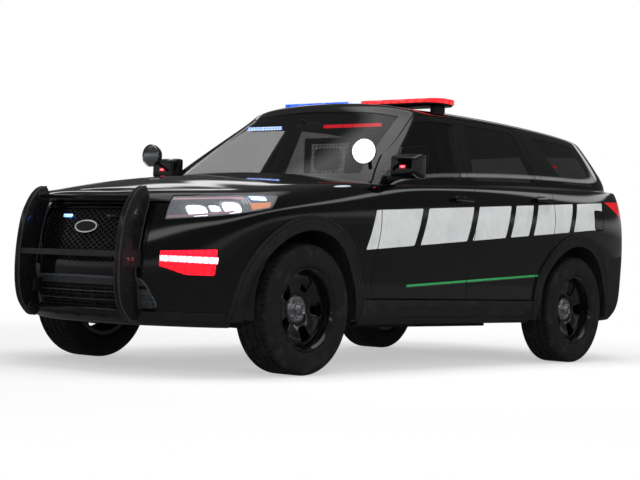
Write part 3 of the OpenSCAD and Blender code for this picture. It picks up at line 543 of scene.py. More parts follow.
    def lower(self, inset: float = 0) -> Mesh:
        """The skin below the belt line, inset by a distance."""
        if ("lower", inset) not in self.made:
            ends = [Vector(self.plan[0]), *map(Vector, self.plan), Vector(self.plan[-1])]
            normals = [Vector(((b - a).y, -(b - a).x)).normalized() for a, b in zip(ends, ends[2:])]
            normals[0], normals[-1] = Vector((1, 0)), Vector((-1, 0))
            stations, rows = range(len(self.plan)), []
            for k, (heights, insets) in enumerate(self.lines):
                z, inward = [np.interp(stations, *zip(*pairs)) for pairs in (heights, insets)]
                rows.append([(p[0] - (d + inset * self.inward[k]) * n.x, p[1] - (d + inset * self.inward[k]) * n.y,
                              h - inset * self.downward[k]) for p, n, h, d in zip(self.plan, normals, z, inward)])
            if inset > 0:
                rows.insert(0, [(x, y, z - 260) for x, y, z in rows[0]])
            self.made["lower", inset] = self._closed(rows, 62, 860)
        return self.made["lower", inset]

    def green(self, inset: float = 0) -> Mesh:
        """The skin above the belt line, inset by a distance."""
        if ("green", inset) not in self.made:
            rows = []
            for t, out, up, drop in ((-0.45, self.tuck, 0, 0), (0, 0, 0, 0), (0.35, self.bulge, 0, 0),
                                     (0.7, self.bulge, 0, 0), (1, 4, -6, 0.3), (1, -24, 32, 1), (1, -90, 50, 1)):
                row = []
                for low, high in zip(self.belt, self.eaves):
                    away = Vector((low[0] + 700, 3 * low[1])).normalized() * (out - inset)
                    p = Vector(low).lerp(Vector(high), t)
                    row.append((p.x + away.x, p.y + away.y, p.z + up - drop * inset))
                rows.append(row)
            self.made["green", inset] = self._closed(rows, 34, 640)
        return self.made["green", inset]

    def wall(self, low_t: float, green_t: float) -> Mesh:
        """The wall between the outer skins and their inset copies."""
        key = ("wall", low_t, green_t)
        if key not in self.made:
            if "outer" not in self.made:
                self.made["outer"] = united(self.lower(), self.green())
            self.made[key] = carve(self.made["outer"], [], [self.lower(low_t), self.green(green_t)])
        return self.made[key]

    def layer(self, outer: float, inner: float) -> Mesh:
        """Part of the lower wall, between two insets."""
        key = ("layer", outer, inner)
        if key not in self.made:
            self.made[key] = carve(self.lower(outer), [], [self.lower(inner)])
        return self.made[key]

    def glass_layer(self, outer: float, inner: float) -> Mesh:
        """Part of the greenhouse wall, between two insets."""
        key = ("glass", outer, inner)
        if key not in self.made:
            self.made[key] = carve(self.green(outer), [], [self.green(inner)])
        return self.made[key]

    def _tree(self, kind: str, inset: float) -> tuple:
        """Search tree of a skin with its polygons and vertex normals."""
        key = ("tree", kind, inset)
        if key not in self.made:
            mesh = self.lower(inset) if kind == "lower" else self.green(inset)
            polygons = [tuple(p.vertices) for p in mesh.polygons]
            spots = [v.co.copy() for v in mesh.vertices]
            normals = [v.normal.copy() for v in mesh.vertices]
            self.made[key] = BVHTree.FromPolygons(spots, polygons), polygons, spots, normals
        return self.made[key]

    def polish(self, mesh: Mesh, *surfaces: tuple[str, float], paint: "Finish | None" = None,
               lining: "Finish | None" = None) -> Mesh:
        """Shades a cut panel as smoothly as the uncut skin it came from.

        Args:
            mesh: the panel.
            surfaces: the skins that its faces may lie on, as (kind, inset); the two
                outer skins if none is given.
            paint: finish of the faces that lie on those skins.
            lining: finish of its other faces.

        Returns:
            The same mesh.
        """
        if paint and lining:
            mesh.materials.clear()
            mesh.materials.append(paint.material())
            mesh.materials.append(lining.material())
        trees = [self._tree(*s) for s in (surfaces or (("lower", 0), ("green", 0)))]
        normals = []
        reach = 0.0004
        for face in mesh.polygons:
            face.use_smooth = True
            hits = [(t, t[0].find_nearest(face.center, reach)) for t in trees]
            hits = [(t, hit) for t, hit in hits if hit[0] is not None and abs(hit[1].dot(face.normal)) > 0.9]
            face.material_index = int(not hits and lining is not None)
            if not hits:
                normals += [face.normal.copy() for _ in face.vertices]
                continue
            (tree, polygons, spots, skin_normals), found = min(hits, key=lambda h: h[1][3])
            sign = math.copysign(1, found[1].dot(face.normal))
            for index in face.vertices:
                at, _, polygon, _ = tree.find_nearest(mesh.vertices[index].co, 0.05)
                corners = polygons[polygon]
                weights = poly_3d_calc([spots[c] for c in corners], at)
                blend = sum((skin_normals[c] * w for c, w in zip(corners, weights)), Vector())
                normals.append(sign * blend.normalized())
        mesh.normals_split_custom_set(normals)
        return mesh


# ---------------------------------------------------------------- finishes


def linear(code: str) -> tuple[float, float, float, float]:
    """Linear RGBA of an sRGB hex colour."""
    parts = [int(code[i:i + 2], 16) / 255 for i in (1, 3, 5)]
    return (*[p / 12.92 if p <= 0.04045 else ((p + 0.055) / 1.055) ** 2.4 for p in parts], 1.0)


def add(tree: bpy.types.NodeTree, kind: str, values: dict | None = None, links: dict | None = None,
        **settings: object) -> bpy.types.Node:
    """Adds a shader node.

    Args:
        tree: the node tree.
        kind: the node's type, without its ShaderNode prefix.
        values: values of its inputs.
        links: sockets that its inputs take their values from.
        settings: its properties.

    Returns:
        The node.
    """
    item = tree.nodes.new("ShaderNode" + kind)
    for name, value in settings.items():
        setattr(item, name, value)
    for name, value in (values or {}).items():
        item.inputs[name].default_value = value
    for name, socket in (links or {}).items():
        tree.links.new(socket, item.inputs[name])
    return item


@dataclass(frozen=True)
class Finish:
    """A surface: what it is made of, and a fine relief with patches of wear.

    Attributes:
        name: common name of the material and how its surface was made.
        slot: the record's material slot; not used.
        colour: base colour, sRGB hex.
        worn: colour of its dusty or worn patches.
        roughness: mean roughness; spread: how far it varies.
        grain: millimetres from grain to grain; relief: its height in millimetres.
        patch: millimetres from one patch to the next; wear: share of them that shows.
    """

    name: str
    slot: str
    colour: str
    worn: str = ""
    roughness: float = 0.5
    spread: float = 0.08
    metallic: float = 0.0
    coat: float = 0.0
    alpha: float = 1.0
    ior: float = 1.5
    grain: float = 6.0
    relief: float = 0.1
    patch: float = 120.0
    wear: float = 0.3
    sheen: float = 0.0
    glow: str = ""
    strength: float = 0.0

    def material(self) -> bpy.types.Material:
        """The finish as a node material, made once."""
        known = bpy.data.materials.get(self.name)
        if known:
            return known
        material = bpy.data.materials.new(self.name)
        material.use_nodes = True
        tree = material.node_tree
        shader = tree.nodes["Principled BSDF"]
        for socket, value in (("Metallic", self.metallic), ("Coat Weight", self.coat), ("Coat Roughness", 0.04),
                              ("Alpha", self.alpha), ("IOR", self.ior), ("Sheen Weight", self.sheen),
                              ("Roughness", self.roughness), ("Base Color", linear(self.colour))):
            shader.inputs[socket].default_value = value
        if self.glow:
            shader.inputs["Emission Color"].default_value = linear(self.glow)
            shader.inputs["Emission Strength"].default_value = self.strength
        place_at = add(tree, "TexCoord").outputs["Object"]
        self.dress(tree, shader, place_at)
        return material

    def dress(self, tree: bpy.types.NodeTree, shader: bpy.types.Node, where: bpy.types.NodeSocket) -> None:
        """Adds the grain, the wandering roughness and the worn patches."""
        patches = add(tree, "TexNoise", {"Scale": 1000 / self.patch, "Detail": 4.0}, {"Vector": where})
        rough = add(tree, "MapRange", {"From Min": 0.3, "From Max": 0.7, "To Min": self.roughness - self.spread,
                                       "To Max": self.roughness + self.spread}, {"Value": patches.outputs["Fac"]})
        tree.links.new(rough.outputs["Result"], shader.inputs["Roughness"])
        if self.worn:
            share = add(tree, "MapRange", {"From Min": 0.5, "From Max": 0.75, "To Max": self.wear},
                        {"Value": patches.outputs["Fac"]})
            blend = add(tree, "Mix", {6: linear(self.colour), 7: linear(self.worn)},
                        {0: share.outputs["Result"]}, data_type="RGBA")
            tree.links.new(blend.outputs[2], shader.inputs["Base Color"])
        grains = add(tree, "TexNoise", {"Scale": 1000 / self.grain, "Detail": 2.0}, {"Vector": where})
        self.emboss(tree, shader, grains.outputs["Fac"])

    def emboss(self, tree: bpy.types.NodeTree, shader: bpy.types.Node, height: bpy.types.NodeSocket) -> None:
        """Raises the surface by a pattern."""
        bump = add(tree, "Bump", {"Strength": 1.0, "Distance": self.relief / 1000}, {"Height": height})
        tree.links.new(bump.outputs["Normal"], shader.inputs["Normal"])


@dataclass(frozen=True)
class Paint(Finish):
    """Coated body paint, with road film that thickens towards the sills."""

    def dress(self, tree: bpy.types.NodeTree, shader: bpy.types.Node, where: bpy.types.NodeSocket) -> None:
        """Adds the road film and the faint waviness of sprayed paint."""
        height = add(tree, "SeparateXYZ", links={"Vector": where}).outputs["Z"]
        low = add(tree, "MapRange", {"From Min": 0.85, "From Max": 0.3, "To Max": self.wear}, {"Value": height})
        cloud = add(tree, "TexNoise", {"Scale": 1000 / self.patch, "Detail": 5.0}, {"Vector": where})
        film = add(tree, "Math", links={0: low.outputs["Result"], 1: cloud.outputs["Fac"]}, operation="MULTIPLY")
        blend = add(tree, "Mix", {6: linear(self.colour), 7: linear(self.worn)}, {0: film.outputs[0]},
                    data_type="RGBA")
        tree.links.new(blend.outputs[2], shader.inputs["Base Color"])
        rough = add(tree, "Math", {1: self.spread, 2: self.roughness}, {0: film.outputs[0]},
                    operation="MULTIPLY_ADD")
        tree.links.new(rough.outputs[0], shader.inputs["Roughness"])
        wave = add(tree, "TexNoise", {"Scale": 1000 / self.grain, "Detail": 1.0}, {"Vector": where})
        self.emboss(tree, shader, wave.outputs["Fac"])


@dataclass(frozen=True)
class Woven(Finish):
    """Cloth with a plain weave; grain is the spacing of its threads."""

    def dress(self, tree: bpy.types.NodeTree, shader: bpy.types.Node, where: bpy.types.NodeSocket) -> None:
        """Adds the threads both ways and mottled colour."""
        threads = [add(tree, "TexWave", {"Scale": 1000 / self.grain / 6.3, "Distortion": 0.6}, {"Vector": where},
                       bands_direction=axis) for axis in ("Y", "Z")]
        weave = add(tree, "Math", links={i: t.outputs["Fac"] for i, t in enumerate(threads)}, operation="MULTIPLY")
        cloud = add(tree, "TexNoise", {"Scale": 1000 / self.patch, "Detail": 4.0}, {"Vector": where})
        mixed = add(tree, "Math", links={0: weave.outputs[0], 1: cloud.outputs["Fac"]}, operation="MULTIPLY")
        blend = add(tree, "Mix", {6: linear(self.colour), 7: linear(self.worn)}, {0: mixed.outputs[0]},
                    data_type="RGBA")
        tree.links.new(blend.outputs[2], shader.inputs["Base Color"])
        self.emboss(tree, shader, weave.outputs[0])


@dataclass(frozen=True)
class Brushed(Finish):
    """Metal with fine scratches drawn along X."""

    def dress(self, tree: bpy.types.NodeTree, shader: bpy.types.Node, where: bpy.types.NodeSocket) -> None:
        """Adds the scratches to the colour and the roughness."""
        drawn = add(tree, "Mapping", {"Scale": (1000 / self.patch, 1000 / self.grain, 1000 / self.grain)},
                    {"Vector": where})
        lines = add(tree, "TexNoise", {"Scale": 1.0, "Detail": 4.0}, {"Vector": drawn.outputs["Vector"]})
        rough = add(tree, "MapRange", {"To Min": self.roughness - self.spread, "To Max": self.roughness + self.spread},
                    {"Value": lines.outputs["Fac"]})
        tree.links.new(rough.outputs["Result"], shader.inputs["Roughness"])
        blend = add(tree, "Mix", {6: linear(self.colour), 7: linear(self.worn)}, {0: lines.outputs["Fac"]},
                    data_type="RGBA")
        tree.links.new(blend.outputs[2], shader.inputs["Base Color"])
        self.emboss(tree, shader, lines.outputs["Fac"])


@dataclass(frozen=True)
class Lit(Finish):
    """A lamp's lit face, made of cells of light; grain is the spacing of the cells."""

    def dress(self, tree: bpy.types.NodeTree, shader: bpy.types.Node, where: bpy.types.NodeSocket) -> None:
        """Brightens the middle of each cell and colours its rim."""
        cells = add(tree, "TexVoronoi", {"Scale": 1000 / self.grain, "Randomness": 0.0}, {"Vector": where})
        share = add(tree, "MapRange", {"From Min": 0.15, "From Max": 0.6, "To Max": 1.0},
                    {"Value": cells.outputs["Distance"]})
        blend = add(tree, "Mix", {6: linear(self.glow), 7: linear(self.worn or self.colour)},
                    {0: share.outputs["Result"]}, data_type="RGBA")
        tree.links.new(blend.outputs[2], shader.inputs["Emission Color"])


# Two-stage enamel: a deep black base under clear lacquer, so its reflections are sharp.
PAINT = Paint("enamel_gloss_black", "gloss_black", "#040405", "#1d1c19", roughness=0.07, spread=0.4, coat=1.0,
              grain=60, relief=0.012, patch=70, wear=0.45)
# Moulded polypropylene with a fine grain: dark grey, hardly any shine. The 3 mm grain is
# drawn at 7 mm, so that it shows.
PLASTIC = Finish("polypropylene_grained", "matte_black", "#17181a", "#2c2c2b", roughness=0.56, grain=7, relief=0.35,
                 patch=90)
# Smooth moulded ABS: black, a soft shine.
SMOOTH_PLASTIC = Finish("abs_smooth_black", "matte_black", "#0b0b0c", "#1a1a1a", roughness=0.32, grain=30,
                        relief=0.05)
# Powder coat on steel plate: black, satin, faintly pebbled. Pebbles of 1 mm drawn at 6 mm.
POWDER = Finish("powder_coat_black", "black_steel", "#0d0d0f", "#242427", roughness=0.3, coat=0.4, spread=0.06, grain=6,
                relief=0.12)
# The same powder coat, painted greyer along the edges as a painted highlight, so that the plates' rims stand out.
POWDER_PAINTED_HIGHLIGHT = Finish("powder_coat_painted_edge_highlight", "black_steel", "#2a2728", "#4a4444", roughness=0.3, grain=6)
# Baked enamel on pressed steel: black and glossy, with a faint ripple.
WHEEL_ENAMEL = Finish("enamel_wheel_black", "black_steel", "#0a0a0b", "#242322", roughness=0.2, coat=1.0, grain=25,
                      relief=0.05, patch=60)
# Chromium plate: mirror metal, a little haze.
CHROME = Brushed("chromium_plate", "bright", "#f2f3f6", "#d4d6da", roughness=0.2, spread=0.04, metallic=1.0,
                 grain=3, relief=0.01, patch=40)
# Sprayed aluminium paint on plastic trim.
SILVER_TRIM = Finish("aluminium_paint_trim", "bright", "#5c6068", "#484b52", roughness=0.3, metallic=0.6, grain=8,
                     relief=0.03)
# Machined mild steel: grey metal with fine turning lines, a little brown in places.
STEEL = Brushed("mild_steel_machined", "bare_steel", "#8a8782", "#6f665c", roughness=0.36, metallic=1.0, grain=2,
                relief=0.03, patch=60)
# Sand-cast aluminium: pale grey, dull and rough, dirty in its hollows.
CASTING = Finish("cast_aluminium", "engine_block", "#8f9092", "#5d5c59", roughness=0.55, metallic=0.8, grain=5,
                 relief=0.4, patch=80, wear=0.7)
# Drawn stainless pipe: soft shine, tinted straw brown by heat.
EXHAUST = Brushed("stainless_pipe_heat_tinted", "exhaust_steel", "#a39c92", "#7c6c58", roughness=0.4, metallic=1.0,
                  grain=4, relief=0.05, patch=150)
# Chassis enamel over rough steel: black, half dull, with brown road dirt.
CHASSIS = Finish("chassis_enamel_black", "black_steel", "#141415", "#3a352e", roughness=0.5, grain=9, relief=0.25,
                 patch=70, wear=0.6)
# Vulcanised rubber: charcoal, dull, dusty in the grooves.
RUBBER = Finish("rubber_vulcanised", "tyre", "#131313", "#2b2927", roughness=0.72, grain=5, relief=0.25, patch=60,
                wear=0.6)
# Laminated window glass with a light grey tint; alpha is the share that it hides.
GLASS = Finish("glass_laminated", "window", "#0a0c0d", alpha=0.3, roughness=0.03, spread=0.02, ior=1.7, coat=1.0,
               grain=200, relief=0.02)
# Privacy glass: the same sharp shine, dark enough to hide most of the cabin.
PRIVACY = Finish("glass_privacy", "privacy_window", "#060708", alpha=0.66, roughness=0.03, spread=0.02, ior=1.7,
                 coat=1.0, grain=200, relief=0.02)
# Clear polycarbonate: nearly unseen but for its sharp highlights.
LENS = Finish("polycarbonate_lens_clear", "lamp", "#dfe6ee", alpha=0.12, roughness=0.04, spread=0.02, ior=1.58,
              coat=1.0, grain=80, relief=0.01)
# Smoked polycarbonate: a glossy dark cover over an unlit lamp.
SMOKED = Finish("polycarbonate_lens_smoked", "lamp", "#141417", alpha=0.55, roughness=0.05, spread=0.02, ior=1.58,
                coat=1.0, grain=80, relief=0.01)
# Moulded red acrylic: deep colour with prisms of 14 mm, and a low glow from inside.
RED_LENS = Finish("acrylic_lens_red", "tail", "#a30509", "#5f0205", roughness=0.1, spread=0.04, coat=1.0, grain=14,
                  relief=0.25, patch=25, glow="#ff1418", strength=0.6)
# Moulded amber acrylic: orange, with 8 mm prisms.
AMBER_LENS = Finish("acrylic_lens_amber", "lamp", "#c46a10", "#7d3c05", roughness=0.1, spread=0.04, coat=1.0,
                    grain=8, relief=0.2, patch=20, glow="#ff8a20", strength=0.25)
# Vacuum-coated aluminium: silver, mirror-like, softly dimpled.
REFLECTOR = Finish("reflector_aluminised", "bright", "#c9ccd2", "#8e9096", roughness=0.14, metallic=1.0, grain=12,
                   relief=0.15, patch=30)
# The same coating, painted rosy as though it caught the red lamp below: a painted reflection, with a faint painted
# glow, though it is no lamp.
REFLECTOR_PAINTED_RED_GLOW = Finish("reflector_aluminised_painted_red_reflection", "bright", "#d59fae", "#7c5f6a", roughness=0.2, metallic=0.9,
                        grain=14, relief=0.12, patch=30, glow="#e07f95", strength=0.12)
# Lit faces: cells of light, brightest in the middle, that take their colour at the rim.
# This one is the white of a projector.
WHITE_LIT = Lit("projector_lit_white", "lamp", "#f2f6ff", "#dfe9ff", glow="#ffffff", strength=3.2, grain=60,
                roughness=0.2)
# Blue diodes: near white, with a blue rim.
BLUE_LIT = Lit("diode_lit_blue", "lamp", "#c8dcff", "#3f7bff", glow="#eaf3ff", strength=3.0, grain=26, roughness=0.2)
# Red diodes behind a red cover: a saturated, even red.
RED_LIT = Lit("diode_lit_red", "tail", "#f01c34", "#e00a20", glow="#ff2038", strength=1.2, grain=30, roughness=0.2)
# White diodes in a red lamp: white middles that fall off to pink.
PINK_LIT = Lit("diode_lit_white_in_red", "tail", "#ffd9de", "#ff4458", glow="#fff4f4", strength=3.2, grain=24,
               roughness=0.2)
# A spotlamp's lens: one wide white disc, faintly blue at its rim.
SPOT_LIT = Lit("lens_lit_white", "lamp", "#f6fbff", "#cfe6ff", glow="#ffffff", strength=2.6, grain=150,
               roughness=0.2)
# Tinted polycarbonate domes of the roof bar, lit from inside and glossy: blue.
BAR_BLUE = Lit("polycarbonate_lit_blue", "bar_lens", "#1d55e8", "#0a34c8", glow="#3f8cff", strength=0.9, grain=70,
               roughness=0.12, coat=1.0)
# The dome's clear middle: pale blue-grey.
BAR_WHITE = Lit("polycarbonate_lit_white", "bar_lens", "#c3cee6", "#8796c4", glow="#dbe4ff", strength=0.7, grain=70,
                roughness=0.12, coat=1.0)
# The dome's red side.
BAR_RED = Lit("polycarbonate_lit_red", "bar_lens", "#f02028", "#c20a18", glow="#ff4a48", strength=0.95, grain=70,
              roughness=0.12, coat=1.0)
# Woven polyester over foam: near black, a soft nap. Threads of 1 mm drawn at 5 mm.
CLOTH = Woven("polyester_woven", "seat_cloth", "#131316", "#2e2e33", roughness=0.9, grain=5, relief=0.4, patch=90,
              sheen=0.3)
# Moulded vinyl: charcoal, fine leather grain drawn at 6 mm, little shine.
VINYL = Finish("vinyl_grained", "trim", "#121214", "#232325", roughness=0.5, grain=6, relief=0.2, patch=100)
# Printed reflective film: silver grey, faint pearly cells.
SILVER_FILM = Finish("film_reflective_silver", "bright", "#d2d4d5", "#b4b7ba", roughness=0.3, metallic=0.1,
                     coat=0.6, grain=5, relief=0.03, patch=160, wear=0.6)
# Printed vinyl film: flat green, smooth.
GREEN_FILM = Finish("film_green", "bright", "#2f9a55", "#22743f", roughness=0.3, coat=0.6, grain=12, relief=0.01)
# The same film in dark grey: a shadow line and the nose's inner trim.
DARK_FILM = Finish("film_dark_grey", "gloss_black", "#2a2c2e", "#1d1e1f", roughness=0.35, coat=0.5, grain=12,
                   relief=0.01)


# ---------------------------------------------------------------- body


@dataclass
class BodyPanels:
    """Painted panels, cut from the wall between the skins."""

    skins: Skins
    wall: float = 22
    door_depth: float = 72
    frame_depth: float = 42
    arch_r: float = 458
    flare: float = 86
    flare_proud: float = 14

    def outside(self, deeper: float = 0) -> Mesh:
        """The space on the left side, outboard of the doors' inner faces."""
        face = 984 - self.door_depth
        steps = [(74, 0), (74, 600), (9, 900), (9, 1044), (34, 1176), (278, 1645), (278, 1800)]
        return front_prism([(face - d - deeper, z) for d, z in steps] + [(1400, 1800), (1400, 0)], -1400, 1200)

    def doorway(self, outline: Outline, grow: float, deeper: float = 0) -> Mesh:
        """The space of a left door."""
        return carve(side_prism(outline, grow), [self.outside(deeper)], [])

    def doorways(self, grow: float, deeper: float) -> list:
        """The spaces of all four doors."""
        left = [self.doorway(o, grow, deeper) for o in (FRONT_DOOR, REAR_DOOR)]
        return left + [mirrored(m) for m in left]

    @staticmethod
    def windshield_space() -> Mesh:
        """The space behind the windshield that its opening takes away."""
        sides = [(1240, 1120), (1240, 1800), (100, 1800), (130, 1640), (820, 1180)]
        slab = extruded([mm(x, -1400, z) for x, z in sides], Vector((0, 2 * FAR, 0)))
        return carve(front_prism(WINDSHIELD, -200, 1300), [slab], [])

    @staticmethod
    def gate_space(grow: float = 0) -> Mesh:
        """The space of the liftgate."""
        return front_prism(GATE, -2900, GATE_X, grow)

    def build(self) -> None:
        """Builds the panels of the car's own body."""
        s, half = self.skins, SEAM / 2
        wall = s.wall(self.wall, self.frame_depth)
        arches = wheel_spaces(self.arch_r + self.flare / 2)
        lamps = both_prisms(HEADLAMP, 0, 0, 540)
        hood = plan_prism(HOOD_PLAN, 962 - half, half)
        sides = carve(wall, [united(block((-2560, FENDER_X), (-1100, 1100), (DOOR_Z - 20, 2000)),
                                    block((800, 1150), (-742, 742), (1080, 2000)))],
                      self.doorways(half, 2 * SEAM) + both_prisms(QUARTER_WINDOW, 0, 0)
                      + both_prisms(REAR_BUMPER_SEAM, 0, 0, -10) + both_prisms(TAIL_LAMP, 0, 0, 540)
                      + [block((-2000, FENDER_X), (700, 1100), (0, DOOR_Z)),
                         block((-2000, FENDER_X), (-1100, -700), (0, DOOR_Z)),
                         self.windshield_space(), self.gate_space(half), hood,
                         block((-2200, 600), (-822, 822), (700, 1200)), plan_prism(ROOF, 1500)]
                      + arches + both_prisms(FUEL_CAP, 8, 0, 400))
        post = [(86, 430), (69, 640), (14, 900), (14, 1020), (48, 1120), (300, 1650), (342, 1650), (90, 1120),
                (62, 1020), (62, 900), (120, 640), (130, 430)]
        face = 984 - self.door_depth
        posts = both(front_prism([(face - d, z) for d, z in post], -215, -105))
        pillars = both(block((800, 878), (705, 835), (430, 1130)))
        shell = joined(s.polish(sides, paint=PAINT, lining=VINYL), finished(posts, VINYL), finished(pillars, VINYL))
        place("body_side_panels", shell, "car", PAINT, "body_sides")
        cowl_cut = [block((800, 1150), (-742, 742), (1080, 2000))]
        fenders = carve(wall, [flanks((FENDER_X, 2600), (600, 1100), (DOOR_Z, 1500))],
                        cowl_cut + self.doorways(half, 2 * SEAM)[::2] + both_prisms(BUMPER_SEAM, 0, 0, 0)
                        + [hood] + arches + lamps)
        place("fender_panels", s.polish(fenders, paint=PAINT, lining=CHASSIS), "car", PAINT, "front_fenders")
        roof = carve(s.wall(self.wall, self.wall + 10), [plan_prism(ROOF, 1500, -0.4)], [])
        place("roof_skin", s.polish(roof, paint=PAINT, lining=VINYL), "car", PAINT, "roof_panel")
        front = carve(s.layer(0, self.wall), [self.front_space(half)],
                      arches + [plan_prism(HOOD_PLAN, 962 - SEAM, SEAM)] + lamps + both_prisms(LAMP_POD, 0, 0, 540)
                      + [front_prism(GRILLE), front_prism(INTAKE)])
        place("front_bumper_cover", s.polish(front, paint=PAINT, lining=CHASSIS), "car", PAINT, "front_bumper")
        rear_space = extruded([mm(x, -1400, z) for x, z in REAR_BUMPER_SEAM], Vector((0, 2 * FAR, 0)))
        rear = carve(s.layer(0, self.wall), [rear_space], arches + [self.gate_space(half)])
        place("rear_bumper_cover", s.polish(rear), "car", PLASTIC, "rear_bumper")
        bonnet = carve(s.layer(0, self.wall), [plan_prism(HOOD_PLAN, 962 + half, -half)],
                       both_prisms(HEADLAMP, SEAM, 0, 534))
        place("hood_skin", s.polish(bonnet, paint=PAINT, lining=CHASSIS), "hood", PAINT, "hood")
        gate = carve(s.wall(self.frame_depth, self.frame_depth),
                     [carve(self.gate_space(-SEAM), [block((-2900, GATE_X - SEAM), (-1100, 1100), (700, 1900))], [])],
                     [front_prism(GATE_WINDOW, -2900, -2100)])
        place("liftgate_skin", s.polish(gate, paint=PAINT, lining=VINYL), "liftgate", PAINT, "liftgate")
        fuel = carve(s.layer(0, self.wall / 2), [side_prism(FUEL_CAP, 0, 0, 400)], [])
        place("fuel_flap", s.polish(fuel, paint=PAINT, lining=VINYL), "fuel_door", PAINT, "fuel_door")
        self.doors(s)
        self.cladding(s)

    def front_space(self, gap: float) -> Mesh:
        """The space of the front bumper's cover."""
        return extruded([mm(x, -1400, z) for x, z in grown(BUMPER_SEAM, -gap)], Vector((0, 2 * FAR, 0)))

    def doors(self, s: Skins) -> None:
        """Builds the door shells."""
        wall = s.wall(self.door_depth, self.frame_depth)
        for place_name, outline, window in (("front", FRONT_DOOR, FRONT_WINDOW), ("rear", REAR_DOOR, REAR_WINDOW)):
            shell = carve(wall, [self.doorway(outline, -SEAM / 2)], [side_prism(window)] + wheel_spaces(
                self.arch_r + self.flare + 8))
            for side, sign in SIDES.items():
                body = f"{side}_{place_name}_door"
                skin = s.polish(sided(shell.copy(), sign), paint=PAINT, lining=VINYL)
                place(f"{body}_shell", skin, body, PAINT, body)

    def cladding(self, s: Skins) -> None:
        """Builds the flares, rockers and liners."""
        proud, deep = self.flare_proud, self.wall
        ring_out, ring_in = wheel_spaces(self.arch_r + self.flare), wheel_spaces(self.arch_r)
        side_blocks = flanks((-2100, 2120), (600, 1100), (306, 1100))
        band = carve(s.layer(-proud, -1), [joined(*ring_out), side_blocks], ring_in)
        lip = carve(s.layer(1 - proud, deep), [joined(*wheel_spaces(self.arch_r + self.flare / 2 - 1)), side_blocks],
                    wheel_spaces(self.arch_r))
        rockers = carve(s.layer(-proud / 2, 50),
                        [flanks((-1100, 1090), (780, 1100), (285, DOOR_Z - SEAM))],
                        wheel_spaces(self.arch_r + self.flare + 1))
        crease = [carve(s.layer(-proud - 2, 4 - proud), [joined(*wheel_spaces(self.arch_r + r + 5))],
                        wheel_spaces(self.arch_r + r)) for r in (38, 64)]
        band = carve(band, [], crease)
        pressed = joined(*both_prisms(rounded([(-860, 330), (640, 330), (700, 362), (640, 396), (-860, 396),
                                               (-920, 362)], 14), 0, 0))
        rockers = carve(rockers, [], [carve(s.layer(-proud, 5 - proud / 2), [pressed], [])])
        skin = (("lower", -proud),)
        parts = [s.polish(finished(band, PLASTIC), *skin), s.polish(finished(lip, PLASTIC), ("lower", 1 - proud)),
                 s.polish(finished(rockers, PLASTIC), ("lower", -proud / 2))]
        for x in (FRONT_AXLE_X, REAR_AXLE_X):
            for sign in (1, -1):
                liner = turned([(self.arch_r + 4, 490), (self.arch_r + 4, 958), (self.arch_r + 9, 958),
                                (self.arch_r + 9, 484), (60, 484), (60, 490)])
                cut = carve(liner, [box(Vector((-1, -1, -0.06)), Vector((1, 1, 1)))], [])
                cut = moved(cut, Matrix.Translation((x, 0, AXLE_Z)))
                parts.append(finished(edge_angle_smooth(sided(cut, sign)), PLASTIC))
        place("cladding_moulded", joined(*parts), "car", PLASTIC, "cladding")


@dataclass
class Glazing:
    """Window glass of the car, its doors and the liftgate."""

    skins: Skins
    thick: float = 5
    sunk: float = 2

    def build(self) -> None:
        """Builds each pane from the greenhouse's skin."""
        s = self.skins
        pane = s.glass_layer(self.sunk, self.sunk + self.thick)
        surfaces = (("green", self.sunk), ("green", self.sunk + self.thick))
        panels = BodyPanels(s)
        keep = block((-2200, 1200), (-1000, 1000), (1180, 1800))
        front = carve(pane, [panels.windshield_space(), keep],
                      [panels.doorway(FRONT_DOOR, 2 * SEAM, 2 * SEAM),
                       mirrored(panels.doorway(FRONT_DOOR, 2 * SEAM, 2 * SEAM))])
        place("windshield_pane", s.polish(front, *surfaces), "car", GLASS, "fixed_glass")
        quarter = both(s.polish(carve(pane, [side_prism(QUARTER_WINDOW, 0, 0), keep], []), *surfaces))
        place("quarter_panes", s.polish(quarter, *surfaces), "car", PRIVACY)
        for name, outline, window, finish in (("front", FRONT_DOOR, FRONT_WINDOW, GLASS),
                                              ("rear", REAR_DOOR, REAR_WINDOW, PRIVACY)):
            left = carve(pane, [side_prism(window), panels.doorway(outline, -SEAM)], [])
            for side, sign in SIDES.items():
                node = f"{side}_{name}_glass"
                place(f"{node}_pane", s.polish(sided(left.copy(), sign), *surfaces), f"{side}_{name}_door", finish,
                      node)
        back = carve(pane, [front_prism(GATE_WINDOW, -2900, -2100)], [])
        place("rear_pane", s.polish(back, *surfaces), "liftgate", PRIVACY, "rear_glass")


# ---------------------------------------------------------------- front end


def on_side(s: Skins, outline: Outline, outer: float, inner: float, grow: float = 0) -> Mesh:
    """A piece of the left side's wall, between two depths, under a side outline."""
    return carve(s.layer(outer, inner), [side_prism(outline, grow, 0, 540)], [])


def on_nose(s: Skins, outline: Outline, outer: float, inner: float, grow: float = 0) -> Mesh:
    """A piece of the nose's wall, between two depths, behind a front outline."""
    return carve(s.layer(outer, inner), [front_prism(outline, grow=grow)], [])


def oval(half_width: float, half_height: float, z: float) -> Outline:
    """An oval about the middle of the nose, at a height."""
    turns = [k * math.tau / 40 for k in range(40)]
    return [(half_width * math.cos(a), z + half_height * math.sin(a)) for a in turns]


def oblong(x: tuple, z: tuple, radius: float = 8) -> Outline:
    """A rectangle with rounded corners."""
    return rounded([(x[0], z[0]), (x[1], z[0]), (x[1], z[1]), (x[0], z[1])], radius)


